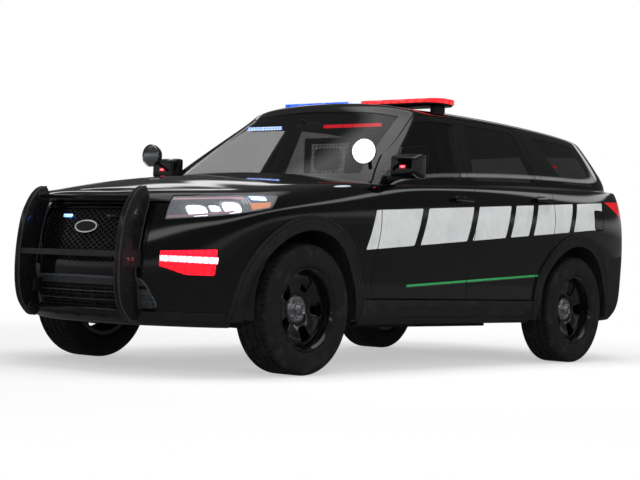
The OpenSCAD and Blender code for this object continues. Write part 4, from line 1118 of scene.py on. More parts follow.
@dataclass
class Grille:
    """Upper mesh with its surround, and the lower intake with its bars."""

    skins: Skins
    pitch: float = 46
    row: float = 15
    wire: float = 9
    surround: float = 20
    badge_z: float = 815

    def holes(self) -> Mesh:
        """Diamond holes through the nose, in staggered rows."""
        half_w, half_h = self.pitch / 2 - self.wire / 1.4, self.row - self.wire / 2.4
        bm = bmesh.new()
        for j in range(-12, 13):
            for i in range(-12, 13):
                y, z = (i + (j % 2) / 2) * self.pitch, 768 + j * self.row
                corners = [(y - half_w, z), (y, z - half_h), (y + half_w, z), (y, z + half_h)]
                face = bm.faces.new([bm.verts.new(mm(2100, a, b)) for a, b in corners])
                pushed = bmesh.ops.extrude_face_region(bm, geom=[face])["geom"]
                bmesh.ops.translate(bm, vec=(0.6, 0, 0),
                                    verts=[g for g in pushed if isinstance(g, bmesh.types.BMVert)])
        bmesh.ops.recalc_face_normals(bm, faces=bm.faces)
        return new_mesh(bm)

    def build(self) -> None:
        """Builds the mesh, the surrounds and the bars."""
        s = self.skins
        net = carve(s.layer(14, 22), [front_prism(GRILLE)], [self.holes()])
        backs = [on_nose(s, GRILLE, 26, 30), on_nose(s, INTAKE, 26, 30)]
        rim = carve(s.layer(4, 24), [front_prism(GRILLE)],
                    [front_prism(GRILLE, grow=-self.surround)])
        badge = on_nose(s, oval(92, 37, self.badge_z), 2, 16)
        badge_rim = carve(s.layer(0.5, 14), [front_prism(oval(92, 37, self.badge_z))],
                          [front_prism(oval(84, 30, self.badge_z))])
        slats = [on_nose(s, oblong((-500, 500), (z, z + 7), 2), 12, 26) for z in range(362, 470, 21)]
        slats = [carve(m, [front_prism(INTAKE)], []) for m in slats]
        posts = [on_nose(s, oblong((y - 4, y + 4), (345, 470), 2), 14, 26) for y in range(-400, 401, 100)]
        dark = dressed(backs + slats + posts, PLASTIC)
        place("grille_net", joined(finished(net, SMOOTH_PLASTIC), *dark, finished(s.polish(rim, ("lower", 4)), PAINT),
                                   finished(badge, SMOOTH_PLASTIC)), "car", SMOOTH_PLASTIC, "grille")
        arch = carve(s.layer(3, 24), [front_prism(INTAKE)],
                     [front_prism(INTAKE, grow=-14), block((1900, 2700), (-600, 600), (300, 372))])
        hood = carve(s.layer(8, 26), [front_prism(INTAKE, grow=-14),
                                      block((1900, 2700), (-600, 600), (488, 560))], [])
        bars = [carve(on_nose(s, oblong((-520, 520), (z, z + 5), 2), 6, 16), [front_prism(INTAKE, grow=-14)], [])
                for z in (446, 398)]
        corner = [carve(on_nose(s, oblong((y, y + 74), (366, 470), 10), 7, 20),
                        [front_prism(INTAKE, grow=-16)], []) for y in (-486, 412)]
        place("intake_trim", joined(*[finished(s.polish(m, ("lower", 3), ("lower", 6), ("lower", 7), ("lower", 8)),
                                               SILVER_TRIM) for m in [arch, *bars]],
                                    *[finished(m, DARK_FILM) for m in [hood, *corner]],
                                    finished(badge_rim, SILVER_FILM)), "car", SILVER_TRIM)
        light = joined(finished(on_nose(s, oblong((-216, -150), (866, 884), 7), 0, 12), BLUE_LIT),
                       finished(on_nose(s, oblong((150, 216), (866, 884), 7), 0, 12), SMOKED))
        place("grille_lights", light, "car", BLUE_LIT)
        space = [block((1500, 2700), (-1200, 1200), (200, 352))]
        away = wheel_spaces(BodyPanels.arch_r + BodyPanels.flare - 2) + [front_prism(INTAKE, grow=4)]
        valance = s.polish(carve(s.layer(-2.5, 1), space, away), ("lower", -2.5))
        place("front_valance", finished(valance, PLASTIC), "car", PLASTIC)
        skirt = [on_nose(s, oblong((y - 30, y + 30), (296, 312), 7), -4, 8) for y in (-300, -100, 120, 330)]
        place("skirt_plugs", joined(*dressed(skirt, SMOOTH_PLASTIC)), "car", SMOOTH_PLASTIC)


@dataclass
class Lamps:
    """Headlamps, the lower lamp pods and the tail lamps."""

    skins: Skins

    def headlamp(self) -> Mesh:
        """The left headlamp behind its clear cover."""
        s = self.skins
        cover = s.polish(on_side(s, HEADLAMP, 0, 3), ("lower", 0), ("lower", 3))
        back = on_side(s, HEADLAMP, 38, 44)
        wall = carve(s.layer(3, 44), [side_prism(HEADLAMP, 0, 0, 540)], [side_prism(HEADLAMP, -5, 0, 500)])
        brow = on_side(s, [(1990, 990), (2060, 992), (2300, 970), (2420, 962), (2420, 985), (2297, 987),
                           (2060, 1008), (1990, 1016)], 8, 20)
        inner = on_side(s, [(2420, 862), (2270, 862), (2262, 962), (2420, 960)], 8, 22)
        chin = on_side(s, [(2060, 914), (2330, 862), (2330, 874), (2060, 926)], 8, 22)
        hoods = [carve(s.layer(10, 30), [side_prism(o, 9, 0, 540)], [side_prism(o, 0, 0, 500)])
                 for o in (oblong((2156, 2214), (884, 946), 22), oblong((2024, 2100), (908, 968), 26))]
        lit = [on_side(s, oblong((2156, 2214), (884, 946), 22), 12, 20),
               on_side(s, oblong((2024, 2100), (908, 968), 26), 12, 20)]
        small = on_side(s, oblong((2116, 2138), (916, 948), 6), 12, 20)
        fins = [on_side(s, [(x, 930), (x + 8, 928), (x + 8, 1004), (x, 1006)], 10, 34) for x in range(1966, 2014, 16)]
        amber = on_side(s, [(1866, 954), (1972, 934), (1972, 972), (1850, 982)], 6, 20)
        led = on_side(s, oblong((1868, 1950), (990, 1012), 9), 6, 14)
        # The brow and the chin take the reflector with the red lamp's reflection and glow painted into it.
        parts = [(cover, LENS), (back, SMOOTH_PLASTIC), (wall, SMOOTH_PLASTIC), (brow, REFLECTOR_PAINTED_RED_GLOW),
                 (inner, REFLECTOR), (chin, REFLECTOR_PAINTED_RED_GLOW), (small, WHITE_LIT), (amber, AMBER_LENS), (led, BLUE_LIT)]
        parts += [(m, REFLECTOR) for m in hoods + fins] + [(m, WHITE_LIT) for m in lit]
        return joined(*[finished(m, f) for m, f in parts])

    def pod(self) -> Mesh:
        """The left lamp pod: a red lamp with a row of diodes, in a dark bezel."""
        s = self.skins
        lens = s.polish(on_side(s, LAMP_POD, 4, 8, -4), ("lower", 4))
        ribs = [carve(on_side(s, [(2130, z), (2450, z + 6), (2450, z + 10), (2130, z + 4)], 1, 4),
                      [side_prism(LAMP_POD, -4, 0, 540)], []) for z in range(566, 620, 12)]
        row = on_side(s, [(2140, 626), (2316, 632), (2316, 664), (2140, 662)], 1, 6)
        bezel = carve(s.layer(2, 36), [side_prism(LAMP_POD, 0, 0, 540)], [side_prism(LAMP_POD, -4, 0, 500)])
        return joined(finished(lens, RED_LIT), finished(row, PINK_LIT), finished(bezel, SMOOTH_PLASTIC),
                      *dressed(ribs, RED_LENS))

    def tail(self) -> Mesh:
        """The left tail lamp: red covers over bright guides."""
        s = self.skins
        parts = []
        cuts = [BodyPanels.gate_space(SEAM / 2), s.green()]
        deck = [extruded([mm(x, y, 1100) for x, y in ((-1980, 400), (-1980, 850), (-2360, 765), (-2360, 400))],
                         Vector((0, 0, 0.2)))]
        for outline, outer, inner, finish in (
                (TAIL_LAMP, 0, 4, RED_LENS), (TAIL_LAMP, 30, 40, SMOOTH_PLASTIC),
                ([(-1960, 1168), (-2500, 1176), (-2500, 1160), (-2000, 1150)], 8, 14, RED_LIT),
                ([(-2300, 1130), (-2700, 1100), (-2700, 1082), (-2300, 1112)], 8, 14, RED_LIT)):
            parts.append(finished(s.polish(carve(on_side(s, outline, outer, inner), [], cuts + deck),
                                           ("lower", outer)), finish))
        return joined(*parts)

    def build(self) -> None:
        """Builds the lamps of both sides."""
        place("headlamps", both(self.headlamp()), "car", LENS, "front_lamps")
        place("lamp_pods", both(self.pod()), "car", RED_LIT)
        place("tail_lamp_covers", both(self.tail()), "car", RED_LENS, "tail_lamps")


@dataclass
class PushBumper:
    """Two deep curved plates and the bars between them."""

    plate_y: float = 418
    plate_t: float = 42
    front: Outline = field(default_factory=lambda: [
        (2330, 1040), (2356, 1042), (2400, 1020), (2446, 965), (2490, 870), (2515, 740), (2525, 610), (2520, 480),
        (2494, 380), (2440, 312), (2400, 292), (2362, 300)])
    back: Outline = field(default_factory=lambda: [
        (2344, 345), (2362, 400), (2368, 480), (2386, 540), (2390, 590), (2376, 660), (2362, 740), (2345, 820),
        (2324, 900), (2308, 960), (2312, 1010)])

    @staticmethod
    def smooth_line(points: Outline, steps: int = 6) -> Outline:
        """Points along a smooth line through a row of points."""
        p = np.array([points[0]] + points + [points[-1]], float)
        out = []
        for a, b, c, d in zip(p, p[1:], p[2:], p[3:]):
            for t in np.linspace(0, 1, steps, endpoint=False):
                out.append(tuple(b + 0.5 * t * (c - a + t * (2 * a - 5 * b + 4 * c - d + t * (3 * (b - c) + d - a)))))
        return out + [tuple(p[-1])]

    def upright(self) -> Mesh:
        """The left plate: rolled lips, a rubber pad with its bolts, and small holes."""
        front, back = self.smooth_line(self.front), self.smooth_line(self.back)
        low, high = self.plate_y - self.plate_t / 2, self.plate_y + self.plate_t / 2
        plate = extruded([mm(x, low + 3, z) for x, z in front + back], Vector((0, (self.plate_t - 6) / 1000, 0)))
        plate = beveled(plate, 0.0035, 2, 50)
        lips = [tube([mm(x - 4, y, z) for x, z in front[3:-3]], 0.0055) for y in (low + 5.5, high - 5.5)]
        rear_lips = [tube([mm(x + 4, y, z) for x, z in back[2:-2]], 0.004) for y in (low + 4, high - 4)]
        pad = block((2364, 2506), (high - 4, high + 3), (592, 689), 3)
        bolts = [rod(mm(x, high + 2, 632), mm(x, high + 8, 632), 0.0105, segments=6, bevel=0.0015)
                 for x in (2464, 2427)]
        washers = [rod(mm(x, high + 2, 632), mm(x, high + 4.5, 632), 0.016, segments=24, bevel=0.001)
                   for x in (2464, 2427)]
        holes = [rod(mm(x, low + 0.5, z), mm(x, high - 0.5, z), 0.0075, segments=16)
                 for x, z in ((2420, 510), (2420, 568), (2410, 780), (2392, 850))]
        # The lips take the greyer powder coat, a painted highlight along the plates' edges.
        return joined(finished(plate, POWDER), *dressed(lips + rear_lips, POWDER_PAINTED_HIGHLIGHT),
                      finished(pad, PLASTIC), *dressed(bolts + washers, STEEL),
                      *dressed(holes, SMOOTH_PLASTIC))

    def build(self) -> None:
        """Builds the plates, bars and stays."""
        inside = self.plate_y - self.plate_t / 2
        parts = [both(self.upright())]
        for x, z, r in ((2385, 987, 12), (2430, 345, 11)):
            parts.append(finished(rod(mm(x, -inside - 4, z), mm(x, inside + 4, z), r / 1000, segments=32), POWDER))
            for y in (-inside + 3, inside - 3):
                # Each collar takes the greyer powder coat with its painted highlight.
                parts.append(finished(rod(mm(x, y - 3, z), mm(x, y + 3, z), (r + 7) / 1000, segments=32, bevel=0.002),
                                      POWDER_PAINTED_HIGHLIGHT))
        # The cross plate takes the greyer powder coat with its painted highlight.
        parts.append(finished(block((2499, 2513), (-inside - 4, inside + 4), (645, 679), 3), POWDER_PAINTED_HIGHLIGHT))
        stay = block((2240, 2440), (self.plate_y - 62, self.plate_y - 18), (430, 510), 4)
        parts += [finished(sided(stay.copy(), sign), POWDER) for sign in (1, -1)]
        place("push_bumper_frame", joined(*parts), "car", POWDER, "push_bumper")


# ---------------------------------------------------------------- equipment


@dataclass
class LightBar:
    """Roof bar: feet, a black tray and lit lenses in three colours."""

    x: float = -207
    length: float = 1376
    width: float = 300
    low: float = 1743
    high: float = 1787

    def lens(self, y0: float, y1: float, finish: Finish, ends: bool) -> Mesh:
        """A run of the lens dome, with rounded ends where it ends the bar."""
        half = self.width / 2
        top, base = self.high - 0.5, self.low + 12
        shape = [(self.x - half, base), (self.x - half + 2, top - 16), (self.x - half + 16, top - 4),
                 (self.x - 60, top), (self.x + 60, top), (self.x + half - 16, top - 4), (self.x + half - 2, top - 16),
                 (self.x + half, base)]
        mesh = extruded([mm(a, y0, b) for a, b in shape], Vector((0, (y1 - y0) / 1000, 0)))
        if ends:
            plan = rounded([(self.x - half, -self.length / 2), (self.x + half, -self.length / 2),
                            (self.x + half, self.length / 2), (self.x - half, self.length / 2)], 150, 12)
            mesh = carve(mesh, [extruded([mm(a, b, 1700) for a, b in plan], Vector((0, 0, 0.2)))], [])
        return finished(beveled(mesh, 0.003, 2, 25), finish)

    def build(self) -> None:
        """Builds the bar."""
        half, end = self.width / 2, self.length / 2
        plan = rounded([(self.x - half + 10, -end + 10), (self.x + half - 10, -end + 10),
                        (self.x + half - 10, end - 10), (self.x - half + 10, end - 10)], 140, 12)
        tray = beveled(extruded([mm(a, b, self.low) for a, b in plan], Vector((0, 0, 0.012))), 0.003)
        runs, edge = [], 3
        for y0, y1, finish in ((-end, -420, BAR_BLUE), (-420, -250, BAR_BLUE), (-250, -60, BAR_BLUE),
                               (-60, 60, BAR_WHITE), (60, 250, BAR_RED), (250, 420, BAR_RED), (420, end, BAR_RED)):
            runs.append(self.lens(y0 + edge / 2, y1 - edge / 2, finish, abs(y0) >= end or abs(y1) >= end))
        across = (self.x - half + 4, self.x + half - 4)
        ribs = dressed([block(across, (y - 1.5, y + 1.5), (self.low + 12, self.high - 8))
                        for y in (-420, -250, -60, 60, 250, 420)], SMOOTH_PLASTIC)
        foot = block((self.x - 58, self.x + 58), (end - 108, end - 62), (1668, self.low + 1), 6)
        feet = [finished(sided(foot.copy(), sign), SMOOTH_PLASTIC) for sign in (1, -1)]
        place("roof_light_bar", joined(finished(tray, SMOOTH_PLASTIC), *runs, *ribs, *feet), "car", BAR_RED,
              "light_bar")


@dataclass
class Spotlights:
    """A round lamp on an arm beside each windshield post."""

    at: tuple = (975, 908, 1338)
    radius: float = 76

    def head(self, lit: bool) -> Mesh:
        """The left lamp: a spun housing, a bright bezel and its glass."""
        r, x, y, z = self.radius / 1000, *self.at
        turn = Matrix.Translation(mm(x, y, z)) @ Matrix.Rotation(math.radians(-68 if lit else -90), 4, "Z")
        shell = lathe([(0.0, -0.062), (r * 0.3, -0.06), (r * 0.5, -0.052), (r * 0.8, -0.03), (r * 0.97, -0.004),
                       (r * 0.985, 0.02), (r * 0.94, 0.022), (r * 0.9, 0.0), (0.0, -0.045)], 64)
        bezel = lathe([(r * 0.93, 0.014), (r, 0.014), (r, 0.024), (r * 0.97, 0.026), (r * 0.92, 0.022)], 64)
        glass = lathe([(0.0, 0.0245), (r * 0.5, 0.0235), (r * 0.93, 0.018), (r * 0.93, 0.012), (0.0, 0.015)], 64)
        parts = [(shell, SMOOTH_PLASTIC), (bezel, CHROME), (glass, SPOT_LIT if lit else REFLECTOR)]
        arm = tube([mm(x - 40, y, z - 30), mm(x - 60, y - 6, z - 50), mm(x - 118, y - 42, z - 92)], 0.0125)
        hub = ball(mm(x - 38, y, z - 30), Vector((0.016, 0.016, 0.016)))
        return joined(*[finished(edge_angle_smooth(moved(m, turn)), f) for m, f in parts],
                      finished(arm, SMOOTH_PLASTIC), finished(hub, SMOOTH_PLASTIC))

    def build(self) -> None:
        """Builds the lit left lamp and the dark right one."""
        place("spotlamps", joined(self.head(True), mirrored(self.head(False))), "car", SMOOTH_PLASTIC, "spotlights")


@dataclass
class Mirrors:
    """Door mirrors with a red marker diode."""

    skins: Skins
    at: tuple = (690, 1032, 1262)

    def shell(self) -> Mesh:
        """The left mirror: a rounded shell, its glass, its foot and the diode."""
        x, y, z = self.at
        bm = bmesh.new()
        bmesh.ops.create_cube(bm, size=1)
        bmesh.ops.subdivide_edges(bm, edges=bm.edges, cuts=5, use_grid_fill=True)
        for vert in bm.verts:
            u, v, w = vert.co * 2
            taper = 1 - 0.28 * max(0, u) - 0.1 * v * max(0, u)
            vert.co = mm(x + 16 + u * 50, y + 2 + v * 110 * (1 - 0.16 * max(0, u)), z + 2 + w * 76 * taper)
        shell = new_mesh(bm, True)
        piece = scratch(shell)
        piece.modifiers.new("round", "SUBSURF").levels = 2
        shell = evaluated(piece)
        glass = beveled(block((x - 33.5, x - 31.5), (y - 82, y + 82), (z - 62, z + 62)), 0.0008)
        rim = carve(block((x - 36, x - 26), (y - 92, y + 92), (z - 72, z + 72), 3), [],
                    [block((x - 60, x), (y - 84, y + 84), (z - 64, z + 64))])
        foot = tube([mm(x + 14, y - 34, z - 52), mm(x + 22, y - 70, z - 66), mm(748, 934, 1190), mm(740, 922, 1186)],
                    0.0185)
        lower_foot = tube([mm(x + 8, y - 50, z - 60), mm(700, 930, 1188)], 0.016)
        marker = block((x + 60, x + 67), (y - 20, y + 26), (z - 12, z + 8), 2)
        line = block((x + 66, x + 67.5), (y - 10, y + 16), (z - 6, z + 2), 0.5)
        return joined(finished(shell, PAINT), finished(glass, CHROME), finished(rim, PLASTIC), finished(foot, PLASTIC),
                      finished(lower_foot, PLASTIC), finished(marker, RED_LIT), finished(line, PINK_LIT))

    def build(self) -> None:
        """Builds both mirrors."""
        for side, sign in SIDES.items():
            place(f"{side}_door_mirror", sided(self.shell(), sign), f"{side}_front_door", PAINT, f"{side}_mirror")


@dataclass
class DoorHandles:
    """Pull handles in the doors' colour, each over a dark cup."""

    skins: Skins
    length: float = 206
    height: float = 26
    starts: dict = field(default_factory=lambda: {"front": (-84, 1084), "rear": (-1096, 1136)})

    def build(self) -> None:
        """Builds the handles, each with two feet and a cup behind it."""
        s = self.skins
        grip, feet, cup = s.layer(-32, -17), s.layer(-24, 1), s.layer(-1, 1)
        for door, (x, z) in self.starts.items():
            end, top = x + self.length, z + self.height
            bar = carve(grip, [side_prism(oblong((x, end), (z, top), 11), 0, 0, 540)], [])
            stubs = [carve(feet, [side_prism(oblong((a, a + 34), (z + 3, top - 3), 8), 0, 0, 540)], [])
                     for a in (x + 3, end - 37)]
            dish = carve(cup, [side_prism(oblong((x + 44, end - 44), (z - 12, top + 12), 22), 0, 0, 540)], [])
            left = joined(finished(beveled(bar, 0.006, 3), PAINT),
                          *dressed(stubs, PAINT), finished(dish, SMOOTH_PLASTIC))
            for side, sign in SIDES.items():
                place(f"{side}_{door}_door_pull", sided(left.copy(), sign), f"{side}_{door}_door", PAINT)


@dataclass
class VisorLights:
    """Warning lights behind the top of the windshield, and in the quarter windows."""

    def build(self) -> None:
        """Builds the bars."""
        red = [block((286, 296), (y, y + 74), (1562, 1584), 2) for y in range(24, 480, 82)]
        blue = [block((286, 296), (-y - 74, -y), (1562, 1584), 2) for y in range(352, 600, 82)]
        case = [block((262, 288), (8, 500), (1556, 1590), 4), block((262, 288), (-640, -346), (1556, 1590), 4)]
        small = [block((-1560, -1500), (s * 740 - 5, s * 740 + 5), (1410, 1432), 2) for s in (1, -1)]
        place("visor_lights", joined(*dressed(red, RED_LIT), *dressed(blue, BLUE_LIT),
                                     *dressed(case, SMOOTH_PLASTIC),
                                     *dressed(small, RED_LIT)), "car", RED_LIT)


@dataclass
class Graphics:
    """Reflective bands on the sides, which split where the doors do."""

    skins: Skins
    proud: float = 0.6
    gap: float = 0.024
    edges: tuple = (0, 0.2, 0.41, 0.577, 0.683, 0.881, 1.05)

    def band_blocks(self) -> list[Outline]:
        """Slanted plain blocks that narrow towards the tail."""
        result = []
        for a, following in zip(self.edges, self.edges[1:]):
            b = following - self.gap
            top = [(932 + (-1812 - 932) * t, 985 + (1168 - 985) * t) for t in (a, b)]
            low = [(1000 + (-1740 - 1000) * t, 742 + (968 - 742) * t) for t in (b, a)]
            result.append(rounded([top[0], top[1], low[0], low[1]][::-1], 10, 3))
        return result

    def build(self) -> None:
        """Cuts the bands from a skin just proud of the paint, body by body."""
        s, half = self.skins, SEAM / 2
        film = s.layer(-self.proud, -0.1)
        stripe = [(540, 536), (-1010, 627), (-1010, 614), (540, 523)]
        shade = [(540, 523), (-1010, 614), (-1010, 607), (540, 516)]
        panels = BodyPanels(s)
        doors = {"front": FRONT_DOOR, "rear": REAR_DOOR}
        arches = wheel_spaces(panels.arch_r + panels.flare + 3)
        for zone in ("front", "rear", "car"):
            bands = [(o, SILVER_FILM) for o in self.band_blocks()] + [(stripe, GREEN_FILM), (shade, DARK_FILM)]
            pieces = []
            for outline, finish in bands:
                spaces = [side_prism(outline, 0, 0, 700)]
                cuts = list(arches)
                if zone == "car":
                    cuts += [side_prism(o, half + 1.5) for o in doors.values()] + [side_prism(FUEL_CAP, 6, 0, 400)]
                    cuts += [side_prism(TAIL_LAMP, 3, 0, 500)]
                else:
                    spaces.append(side_prism(doors[zone], -half - 1.5))
                piece = carve(film, [m.copy() for m in spaces], cuts)
                if len(piece.polygons):
                    pieces.append(finished(s.polish(piece, ("lower", -self.proud)), finish))
            if not pieces:
                continue
            left = joined(*pieces)
            if zone == "car":
                place("body_films", both(left), "car", SILVER_FILM)
            else:
                for side, sign in SIDES.items():
                    place(f"{side}_{zone}_door_films", sided(left.copy(), sign), f"{side}_{zone}_door", SILVER_FILM)


# ---------------------------------------------------------------- wheels


@dataclass
class Wheel:
    """Steel wheel with a bright hub cap, its brake disc and its tyre."""

    rim_r: float = 246
    width: float = 229
    tyre_r: float = 381
    tyre_w: float = 255
    windows: int = 5
    nuts: int = 5
    groove: float = 8

    def rim(self) -> Mesh:
        """Barrel and pressed disc."""
        r, w = self.rim_r, self.width / 2
        barrel = [(r - 30, -w), (r - 4, -w), (r, -w + 3), (r, -w + 8), (r - 14, -w + 12), (r - 16, 0), (r - 14, w - 12),
                  (r, w - 8), (r, w - 3), (r - 4, w), (r - 12, w), (r - 18, w - 6), (r - 25, w - 15), (r - 27, 0),
                  (r - 26, -w + 14)]
        disc = [(0, 10), (70, 10), (92, 26), (140, 37), (r - 60, 43), (r - 40, 40), (r - 25, 34), (r - 25, 46),
                (r - 40, 55), (r - 58, 58), (r - 74, 57), (140, 50), (98, 40), (86, 34), (78, 26), (0, 26)]
        parts = [edge_angle_smooth(turned(barrel, 120))]
        plate, cuts = turned(disc, 160), []
        for k in range(self.windows):
            shape = rounded([(106, -27), (r - 66, -44), (r - 50, -24), (r - 50, 24), (r - 66, 44), (106, 27)], 14)
            turn = Matrix.Rotation(math.tau * (k + 0.5) / self.windows, 4, "Y")
            cuts.append(moved(extruded([Vector((a / 1000, -0.04, b / 1000)) for a, b in shape], Vector((0, 0.12, 0))),
                              turn))
        parts.append(edge_angle_smooth(beveled(carve(plate, [], [joined(*cuts)]), 0.0022, 2, 50)))
        return finished(joined(*parts), WHEEL_ENAMEL)

    def hub(self) -> Mesh:
        """Bright cap with its nuts."""
        cap = turned([(0, 26), (78, 26), (79, 30), (76, 34), (70, 36), (64, 31), (60, 29), (34, 31), (32, 38),
                      (30, 46), (24, 51), (12, 53), (0, 53)], 72)
        parts = [finished(edge_angle_smooth(cap, 50), CHROME)]
        for k in range(self.nuts):
            a = math.tau * k / self.nuts
            x, z = 0.0475 * math.cos(a), 0.0475 * math.sin(a)
            parts.append(finished(rod(Vector((x, 0.028, z)), Vector((x, 0.046, z)), 0.0105, segments=6, bevel=0.001),
                                  CHROME))
            parts.append(finished(rod(Vector((x, 0.045, z)), Vector((x, 0.052, z)), 0.009, 0.005, segments=16), CHROME))
        back = turned([(31, -14), (66, -14), (66, 10), (31, 10)], 48)
        disc = turned([(66, -34), (172, -34), (172, -28), (168, -28), (168, -20), (172, -20), (172, -14),
                       (66, -14)])
        return joined(*parts, finished(back, STEEL), finished(edge_angle_smooth(disc), STEEL))

    def tyre(self) -> Mesh:
        """Tyre with round grooves, cut shoulders and ribbed side walls."""
        r, half, g = self.tyre_r, self.tyre_w / 2, self.groove
        outer = [(self.rim_r + 1, half - 14), (r - 124, half - 5), (r - 110, half - 3), (r - 96, half - 0.8),
                 (r - 84, half), (r - 78, half - 1.6), (r - 70, half), (r - 58, half - 0.3), (r - 44, half - 1),
                 (r - 34, half - 3.5), (r - 26, half - 5.5), (r - 20, half - 8), (r - 12, half - 13),
                 (r - 7, half - 18), (r - 3, half - 25), (r - 1, half - 34)]
        tread = []
        for centre in (74, 27):
            tread += [(r - 0.3, centre + 5), (r - g, centre + 3.5), (r - g, centre - 3.5), (r - 0.1, centre - 5)]
        top = outer + tread
        profile = top + [(a, -b) for a, b in reversed(top)]
        inner = [(self.rim_r - 1, -half + 30), (r - 15, -half + 30), (r - 15, half - 30), (self.rim_r - 1, half - 30)]
        body = turned(profile + inner, 180)
        cuts = []
        for k in range(60):
            for sign in (1, -1):
                turn = Matrix.Rotation(math.tau * (k + 0.5 * (sign < 0)) / 60, 4, "Y")
                slot = box(Vector((r - 9, min(sign * 82, sign * 140), -3)) / 1000,
                           Vector((r + 6, max(sign * 82, sign * 140), 3)) / 1000)
                lean = Matrix.Rotation(math.radians(14 * sign), 4, "X")
                cuts.append(moved(slot, turn @ lean))
                if sign > 0:
                    mid = box(Vector((r - 7, -20, -1.8)) / 1000, Vector((r + 6, 20, 1.8)) / 1000)
                    cuts.append(moved(mid, turn @ Matrix.Rotation(math.radians(28), 4, "X")))
                    for side in (1, -1):
                        sipe = box(Vector((r - 7, min(side * 34, side * 66), -2)) / 1000,
                                   Vector((r + 6, max(side * 34, side * 66), 2)) / 1000)
                        cuts.append(moved(sipe, turn @ Matrix.Rotation(math.radians(-18 * side), 4, "X")))
        return finished(edge_angle_smooth(carve(body, [], [joined(*cuts)]), 28), RUBBER)

    def build(self) -> None:
        """Builds a wheel and copies it to the four corners."""
        metal, rubber = joined(self.rim(), self.hub()), self.tyre()
        for name, x, sign in (("front_left", FRONT_AXLE_X, 1), ("front_right", FRONT_AXLE_X, -1),
                              ("rear_left", REAR_AXLE_X, 1), ("rear_right", REAR_AXLE_X, -1)):
            at = Matrix.Translation((x, sign * TRACK_Y, AXLE_Z))
            place(f"{name}_rim", moved(sided(metal.copy(), sign), at), f"{name}_wheel", WHEEL_ENAMEL, f"{name}_wheel")
            place(f"{name}_tread", moved(sided(rubber.copy(), sign), at), f"{name}_wheel", RUBBER, f"{name}_tyre")


# ---------------------------------------------------------------- cabin


class Seam(Enum):
    """Where a cushion's channels run."""

    BOLSTERS = "bolsters"
    BENCH = "bench"
    PLAIN = "plain"


@dataclass
class Cushion:
    """A stuffed pad: a rounded block, blown up under its cloth, with sewn channels."""

    name: str
    centre: Vector
    size: Vector
    tilt: float = 0.0
    seam: Seam = Seam.PLAIN
    voxel: float = 0.018
    cap: float = 0.014
    frames: int = 12
    channel: float = 0.007
    channel_width: float = 0.007
    piping: float = 0.0025
    piping_width: float = 0.006

    def blank(self) -> Mesh:
        """The rounded block, raised at its sides where it has bolsters."""
        bm = bmesh.new()
        bmesh.ops.create_cube(bm, size=1)
        bmesh.ops.subdivide_edges(bm, edges=bm.edges, cuts=9, use_grid_fill=True)
        for vert in bm.verts:
            u, v, w = vert.co * 2
            lift = 1.0 + (0.22 * max(0.0, abs(v) - 0.5) if self.seam is Seam.BOLSTERS else 0.0)
            pinch = 1 - 0.05 * (abs(u) ** 4 + abs(v) ** 4)
            vert.co = Vector((u * self.size.x * pinch, v * self.size.y * pinch, w * self.size.z * lift * 0.82)) / 2
        piece = scratch(new_mesh(bm, True))
        piece.modifiers.new("round", "SUBSURF").levels = 1
        return evaluated(piece)

    def blown(self, mesh: Mesh) -> Mesh:
        """Inflates the block under its cloth, and caps how far it moves."""
        piece = scratch(mesh)
        grid = piece.modifiers.new("remesh", "REMESH")
        grid.mode, grid.voxel_size = "VOXEL", self.voxel
        piece = scratch(evaluated(piece))
        start = [v.co.copy() for v in piece.data.vertices]
        cloth = piece.modifiers.new("cloth", "CLOTH")
        cloth.settings.use_pressure, cloth.settings.uniform_pressure_force = True, 4
        cloth.settings.effector_weights.gravity = 0
        cloth.settings.quality = 4
        for frame_number in range(1, self.frames + 1):
            bpy.context.scene.frame_set(frame_number)
        result = evaluated(piece)
        bpy.context.scene.frame_set(1)
        for vert, before in zip(result.vertices, start):
            step = vert.co - before
            if step.length > self.cap:
                vert.co = before + step.normalized() * self.cap
        return result

    def sewn(self, mesh: Mesh) -> Mesh:
        """Presses the channels in, after one subdivision."""
        piece = scratch(mesh)
        piece.modifiers.new("round", "SUBSURF").levels = 1
        mesh = evaluated(piece)
        across = {Seam.BOLSTERS: (-0.3, 0.3), Seam.BENCH: (-0.62, -0.3, 0.3, 0.62), Seam.PLAIN: ()}[self.seam]
        along = {Seam.BOLSTERS: (-0.34, 0.1), Seam.BENCH: (0.0,), Seam.PLAIN: ()}[self.seam]
        for vert in mesh.vertices:
            depth = 0.0
            v, u = 2 * vert.co.y / self.size.y, 2 * vert.co.x / self.size.x
            for line in across:
                depth += math.exp(-((v - line) * self.size.y / 2 / self.channel_width) ** 2)
            for line in along:
                if across and across[0] < v < across[-1]:
                    depth += math.exp(-((u - line) * self.size.x / 2 / self.channel_width) ** 2)
            raised = math.exp(-(vert.co.z / self.piping_width) ** 2)
            vert.co -= vert.normal * (min(depth, 1) * self.channel * (vert.co.z > 0) - raised * self.piping)
        return mesh

    def build(self) -> bpy.types.Object:
        """Builds the pad in its place."""
        mesh = self.blank()
        mesh = self.blown(mesh)
        mesh = self.sewn(mesh)
        for face in mesh.polygons:
            face.use_smooth = True
        turn = Matrix.Translation(self.centre) @ Matrix.Rotation(math.radians(self.tilt), 4, "Y")
        piece = place(self.name, moved(finished(mesh, CLOTH), turn), "car", CLOTH)
        return piece


